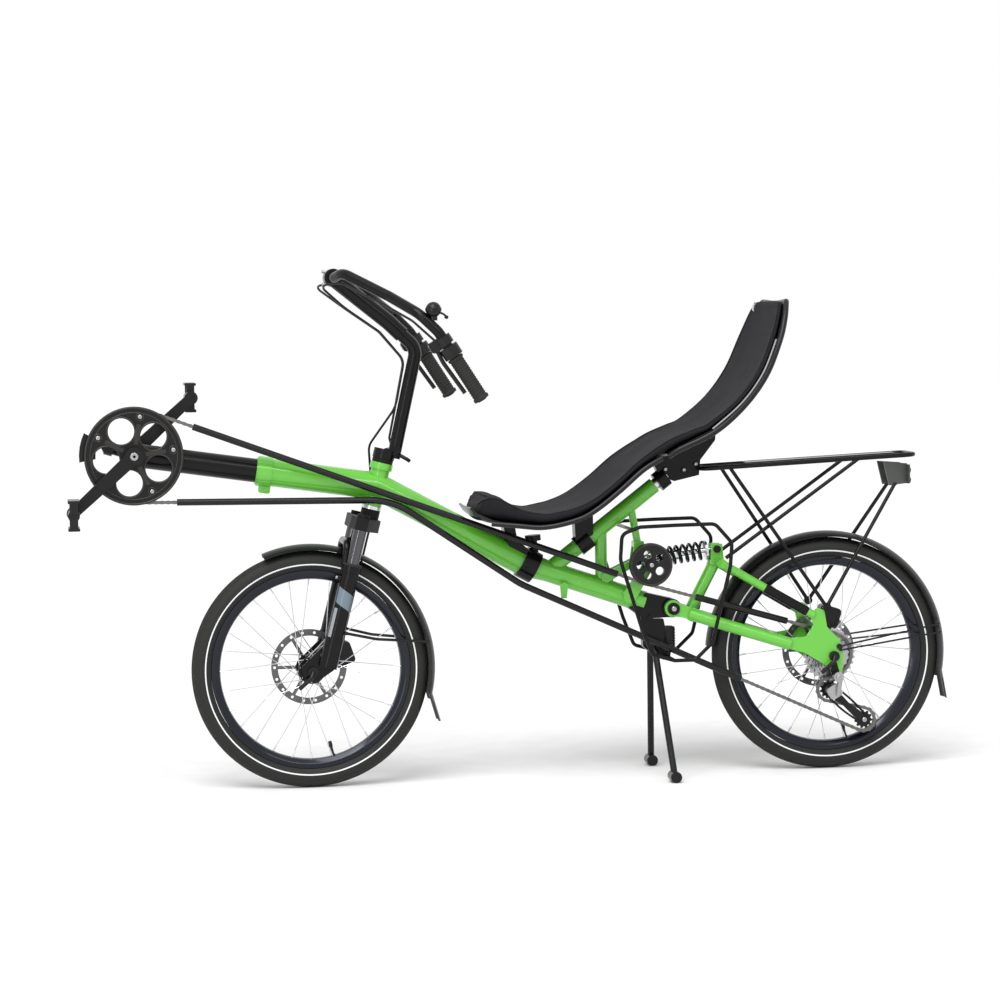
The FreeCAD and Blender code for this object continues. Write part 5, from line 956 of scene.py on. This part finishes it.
def leg_patch(form, side, top, length, ahead_angle, half_angle, slant):
    """A thin curved patch on a fork slider, its middle at an angle forward from the leg's outer side."""
    rows, columns = 10, 14
    first = len(form.points)
    for row in range(rows + 1):
        share = row / rows
        middle = head(top - length * share, LEG_FORWARD, side * LEG_SIDE)
        for column in range(columns + 1):
            across = 2 * column / columns - 1
            angle = ahead_angle + half_angle * across
            out = ACROSS * side * math.cos(angle) + HEAD_FORWARD * math.sin(angle)
            form.points.append(middle + out * (SLIDER_RADIUS + PATCH_LIFT)
                               + HEAD_UP * (slant * SLIDER_RADIUS * across))
    for row in range(rows):
        for column in range(columns):
            corner = first + row * (columns + 1) + column
            form.faces.append((corner, corner + 1, corner + columns + 2, corner + columns + 1))


def fork_patches():
    """The grey-blue patch and the pale stripe on each slider, both painted highlights on the black legs, and
    the dust seals.
    """
    highlight_patches, highlight_stripes, seals = Form(), Form(), Form()
    for side in (LEFT, RIGHT):
        # painted highlights: the grey-blue patch on the outer side, then the pale stripe on the front of the
        # slider
        leg_patch(highlight_patches, side, PATCH_TOP, PATCH_LENGTH, 0, PATCH_HALF, PATCH_SLANT)
        leg_patch(highlight_stripes, side, PATCH_TOP - PATCH_LENGTH - HIGHLIGHT_STRIPE_GAP, HIGHLIGHT_STRIPE_LENGTH, HIGHLIGHT_STRIPE_AHEAD,
                  HIGHLIGHT_STRIPE_HALF, 0)
        seals.lathe(head(SEAL_FOOT, LEG_FORWARD, side * LEG_SIDE), HEAD_UP, SEAL, steps=36)
    # the patches and stripes are painted highlights, not decals
    highlight_patches.piece("fork_patches", "painted_highlight_blue", "steering")
    highlight_stripes.piece("fork_highlight_stripes", "painted_highlight_pale", "steering")
    seals.piece("fork_seals", "rubber", "steering")


HOUSING_FOOT, HOUSING_RIBS = at(0.346, 0.262), 8
# columns: distance above the foot or above the rib's start, radius
HOUSING_RIB = ((0, 0.0165), (0.003, 0.0165), (0.0035, 0.0156), (0.0055, 0.0156))


def rear_housing():
    """The ribbed black housing behind the stand's bracket."""
    form = Form()
    profile = [(0, 0.010), (0.002, 0.015)]
    for index in range(HOUSING_RIBS):
        start = 0.004 + 0.006 * index
        profile += [(start + along, radius) for along, radius in HOUSING_RIB]
    profile += [(0.054, 0.015), (0.056, 0.010)]
    form.lathe(HOUSING_FOOT, Vector((0, 0, 1)), profile, steps=32)
    form.piece("rear_housing", "black_plastic", "frame")


# ---------------------------------------------------------------- small parts

GUARD_FACE, GUARD_RADIUS, WINDOW_RING, WINDOW_RADIUS = DRIVE * 0.0545, 0.102, 0.057, 0.027
FIRST_ARM, ARMS, ARM_BOLT_RING = 100, 5, GUARD_RADIUS - 0.020
ARM_SIZE = (0.042, 0.0028, 0.009)
# columns: a raised ring's radius, width and height
OUTER_BEAD, INNER_BEAD = (GUARD_RADIUS - 0.0025, 0.0045, 0.0016), (GUARD_RADIUS - 0.0125, 0.0022, 0.0008)
WINDOW_BEAD, BOLT_BEAD = (WINDOW_RADIUS + 0.0022, 0.0034, 0.0013), (0.0078, 0.0030, 0.0014)
IDLER_BEAD = (0.0432, 0.0046, 0.0012)


def ring_bead(form, centre, face, radius, width, height):
    """A raised ring with rounded shoulders on a face square to the wheel's axis."""
    inner, outer = radius - width / 2, radius + width / 2
    profile = ((-0.0008, inner), (height * 0.6, inner + width * 0.1), (height, inner + width * 0.35),
               (height, outer - width * 0.35), (height * 0.6, outer - width * 0.1), (-0.0008, outer))
    form.lathe(centre + ACROSS * face, ACROSS * DRIVE, profile, steps=64, loop=True)


def guard_relief():
    """The chainring guard's pressed edges, window rims and arms."""
    form = Form()
    ring_bead(form, BOTTOM_BRACKET, GUARD_FACE, *OUTER_BEAD)
    ring_bead(form, BOTTOM_BRACKET, GUARD_FACE, *INNER_BEAD)
    for index in range(ARMS):
        angle = FIRST_ARM + 360 / ARMS * index
        window = round_point(BOTTOM_BRACKET, WINDOW_RING, angle + 180 / ARMS)
        ring_bead(form, window, GUARD_FACE, *WINDOW_BEAD)
        foot = round_point(BOTTOM_BRACKET, ARM_BOLT_RING, angle)
        ring_bead(form, foot, GUARD_FACE, *BOLT_BEAD)
        middle = BOTTOM_BRACKET.lerp(foot, 0.55) + ACROSS * (GUARD_FACE + DRIVE * 0.0006)
        turn = Matrix.Rotation(-math.radians(angle), 3, "Y")
        form.block(middle, ARM_SIZE, turn)
    form.piece("guard_relief", "guard_edge", "crank")


CAGE_SIDE, CAGE_EDGE_RADIUS = 0.0545, 0.0024
JOCKEY_PIVOT_SIDE, HANGER_PIVOT_SIDE = 0.0535, 0.0215


def derailleur_details():
    """The outer edges of the derailleur's cage and its pivots, and the idler's pale rim."""
    cage, pivots, rim = Form(), Form(), Form()
    along = (JOCKEY_LOWER - JOCKEY_UPPER).normalized()
    across = Vector((-along.z, 0, along.x))
    out = ACROSS * DRIVE * CAGE_SIDE
    for side, bow in ((1, 0.004), (-1, -0.003)):
        start = JOCKEY_UPPER + across * side * 0.0125 + out
        end = JOCKEY_LOWER + across * side * 0.0095 + out
        middle = start.lerp(end, 0.5) + across * bow
        cage.tube(smooth_path([start, middle, end]), CAGE_EDGE_RADIUS, sides=10)
    cage.piece("cage_edges", "dark_alloy", "frame")
    for place, radius in ((JOCKEY_UPPER, 0.0060), (JOCKEY_LOWER, 0.0050)):
        pivots.bolt(place + ACROSS * DRIVE * JOCKEY_PIVOT_SIDE, ACROSS * DRIVE, radius, 0.003)
    pivots.bolt(HANGER + ACROSS * DRIVE * HANGER_PIVOT_SIDE, ACROSS * DRIVE, 0.0060, 0.003)
    pivots.piece("derailleur_pivots", "steel", "frame")
    face = abs(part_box("idler_wheel")[1 if DRIVE > 0 else 0][1])
    ring_bead(rim, IDLER, DRIVE * face, *IDLER_BEAD)
    rim.piece("idler_rim", "guard_edge", "idler")


LAMP_PLATE_BACK, LAMP_FOOT_SIDE, LAMP_FOOT_HEIGHTS = -0.180, 0.020, (0.641, 0.620)
# columns: distance out from the plate, radius
LAMP_FOOT = ((-0.001, 0.0075), (0.003, 0.0085), (0.006, 0.0075), (0.008, 0.004), (0.008, 0.0001))


def lamp_feet():
    """Round rubber feet on the lamp plate's rear face."""
    feet = Form()
    for side in (LEFT, RIGHT):
        for up in LAMP_FOOT_HEIGHTS:
            foot = at(LAMP_PLATE_BACK, up, side * LAMP_FOOT_SIDE)
            feet.lathe(foot, Vector((-1, 0, 0)), LAMP_FOOT, steps=24)
    feet.piece("lamp_feet", "rubber", "frame")


# columns: height along the steering's axis, distance forward of it, distance to the side
FORK_SCREWS = ((-0.152, 0.044, 0.066), (-0.318, 0.0355, 0.057))
# columns: distance ahead of the seat tube's top, distance above it
SEAT_TUBE_SCREWS = ((-0.022, 0.034), (-0.062, 0.032), (-0.088, 0.044))
CLAMP_SCREW_AHEAD, CLAMP_SCREW_SIDE, CLAMP_SCREW_UP = 0.0185, 0.013, 0.013
PIVOT_SIDE, SHOCK_SIDE, SEAT_TUBE_SCREW_SIDE = 0.0467, 0.020, 0.0172
IDLER_SIDE, CRANK_SIDE = 0.0558, 0.084
# columns: distance out from the crank's face, radius
CRANK_SCREW = ((-0.001, 0.0080), (0.0012, 0.0080), (0.0016, 0.007), (0.0010, 0.0030), (0, 0.003))


def fasteners():
    """Screws that hold the clamps, calipers, rings, stays and brackets."""
    steering, body, crank = Form(), Form(), Form()
    for side in (LEFT, RIGHT):
        for up in (-CLAMP_SCREW_UP, CLAMP_SCREW_UP):
            place = BAR_CLAMP + Vector((CLAMP_SCREW_AHEAD, side * CLAMP_SCREW_SIDE, up))
            steering.bolt(place, Vector((1, 0, 0)), 0.0034, 0.003)
        for up, forward, out in FORK_SCREWS:
            steering.bolt(head(up, forward, side * out), HEAD_FORWARD, 0.004, 0.003)
        body.bolt(PIVOT + ACROSS * side * PIVOT_SIDE, ACROSS * side, 0.0052, 0.003)
        body.bolt(SHOCK_REAR + ACROSS * side * SHOCK_SIDE, ACROSS * side, 0.0036, 0.002)
        for ahead, up in SEAT_TUBE_SCREWS:
            place = SEAT_TUBE_TOP + Vector((ahead, side * SEAT_TUBE_SCREW_SIDE, up))
            body.bolt(place, ACROSS * side, 0.0036, 0.0028)
    body.bolt(IDLER + ACROSS * DRIVE * IDLER_SIDE, ACROSS * DRIVE, 0.0045, 0.002)
    steering.piece("steering_screws", "steel", "steering")
    body.piece("frame_screws", "steel", "frame")
    for index in range(ARMS):
        foot = round_point(BOTTOM_BRACKET, ARM_BOLT_RING, FIRST_ARM + 360 / ARMS * index, GUARD_FACE)
        crank.bolt(foot, ACROSS * DRIVE, 0.0042, 0.0022)
    for side in (LEFT, RIGHT):
        crank.lathe(BOTTOM_BRACKET + ACROSS * side * CRANK_SIDE, ACROSS * side, CRANK_SCREW, steps=24)
    crank.piece("crank_screws", "steel", "crank")


make_camera()
make_materials()
paint_details()
make_studio()
wheels()
chain()
seat()
grips()
bell()
stay_sleeves()
headset()
fork_patches()
rear_housing()
guard_relief()
derailleur_details()
lamp_feet()
fasteners()
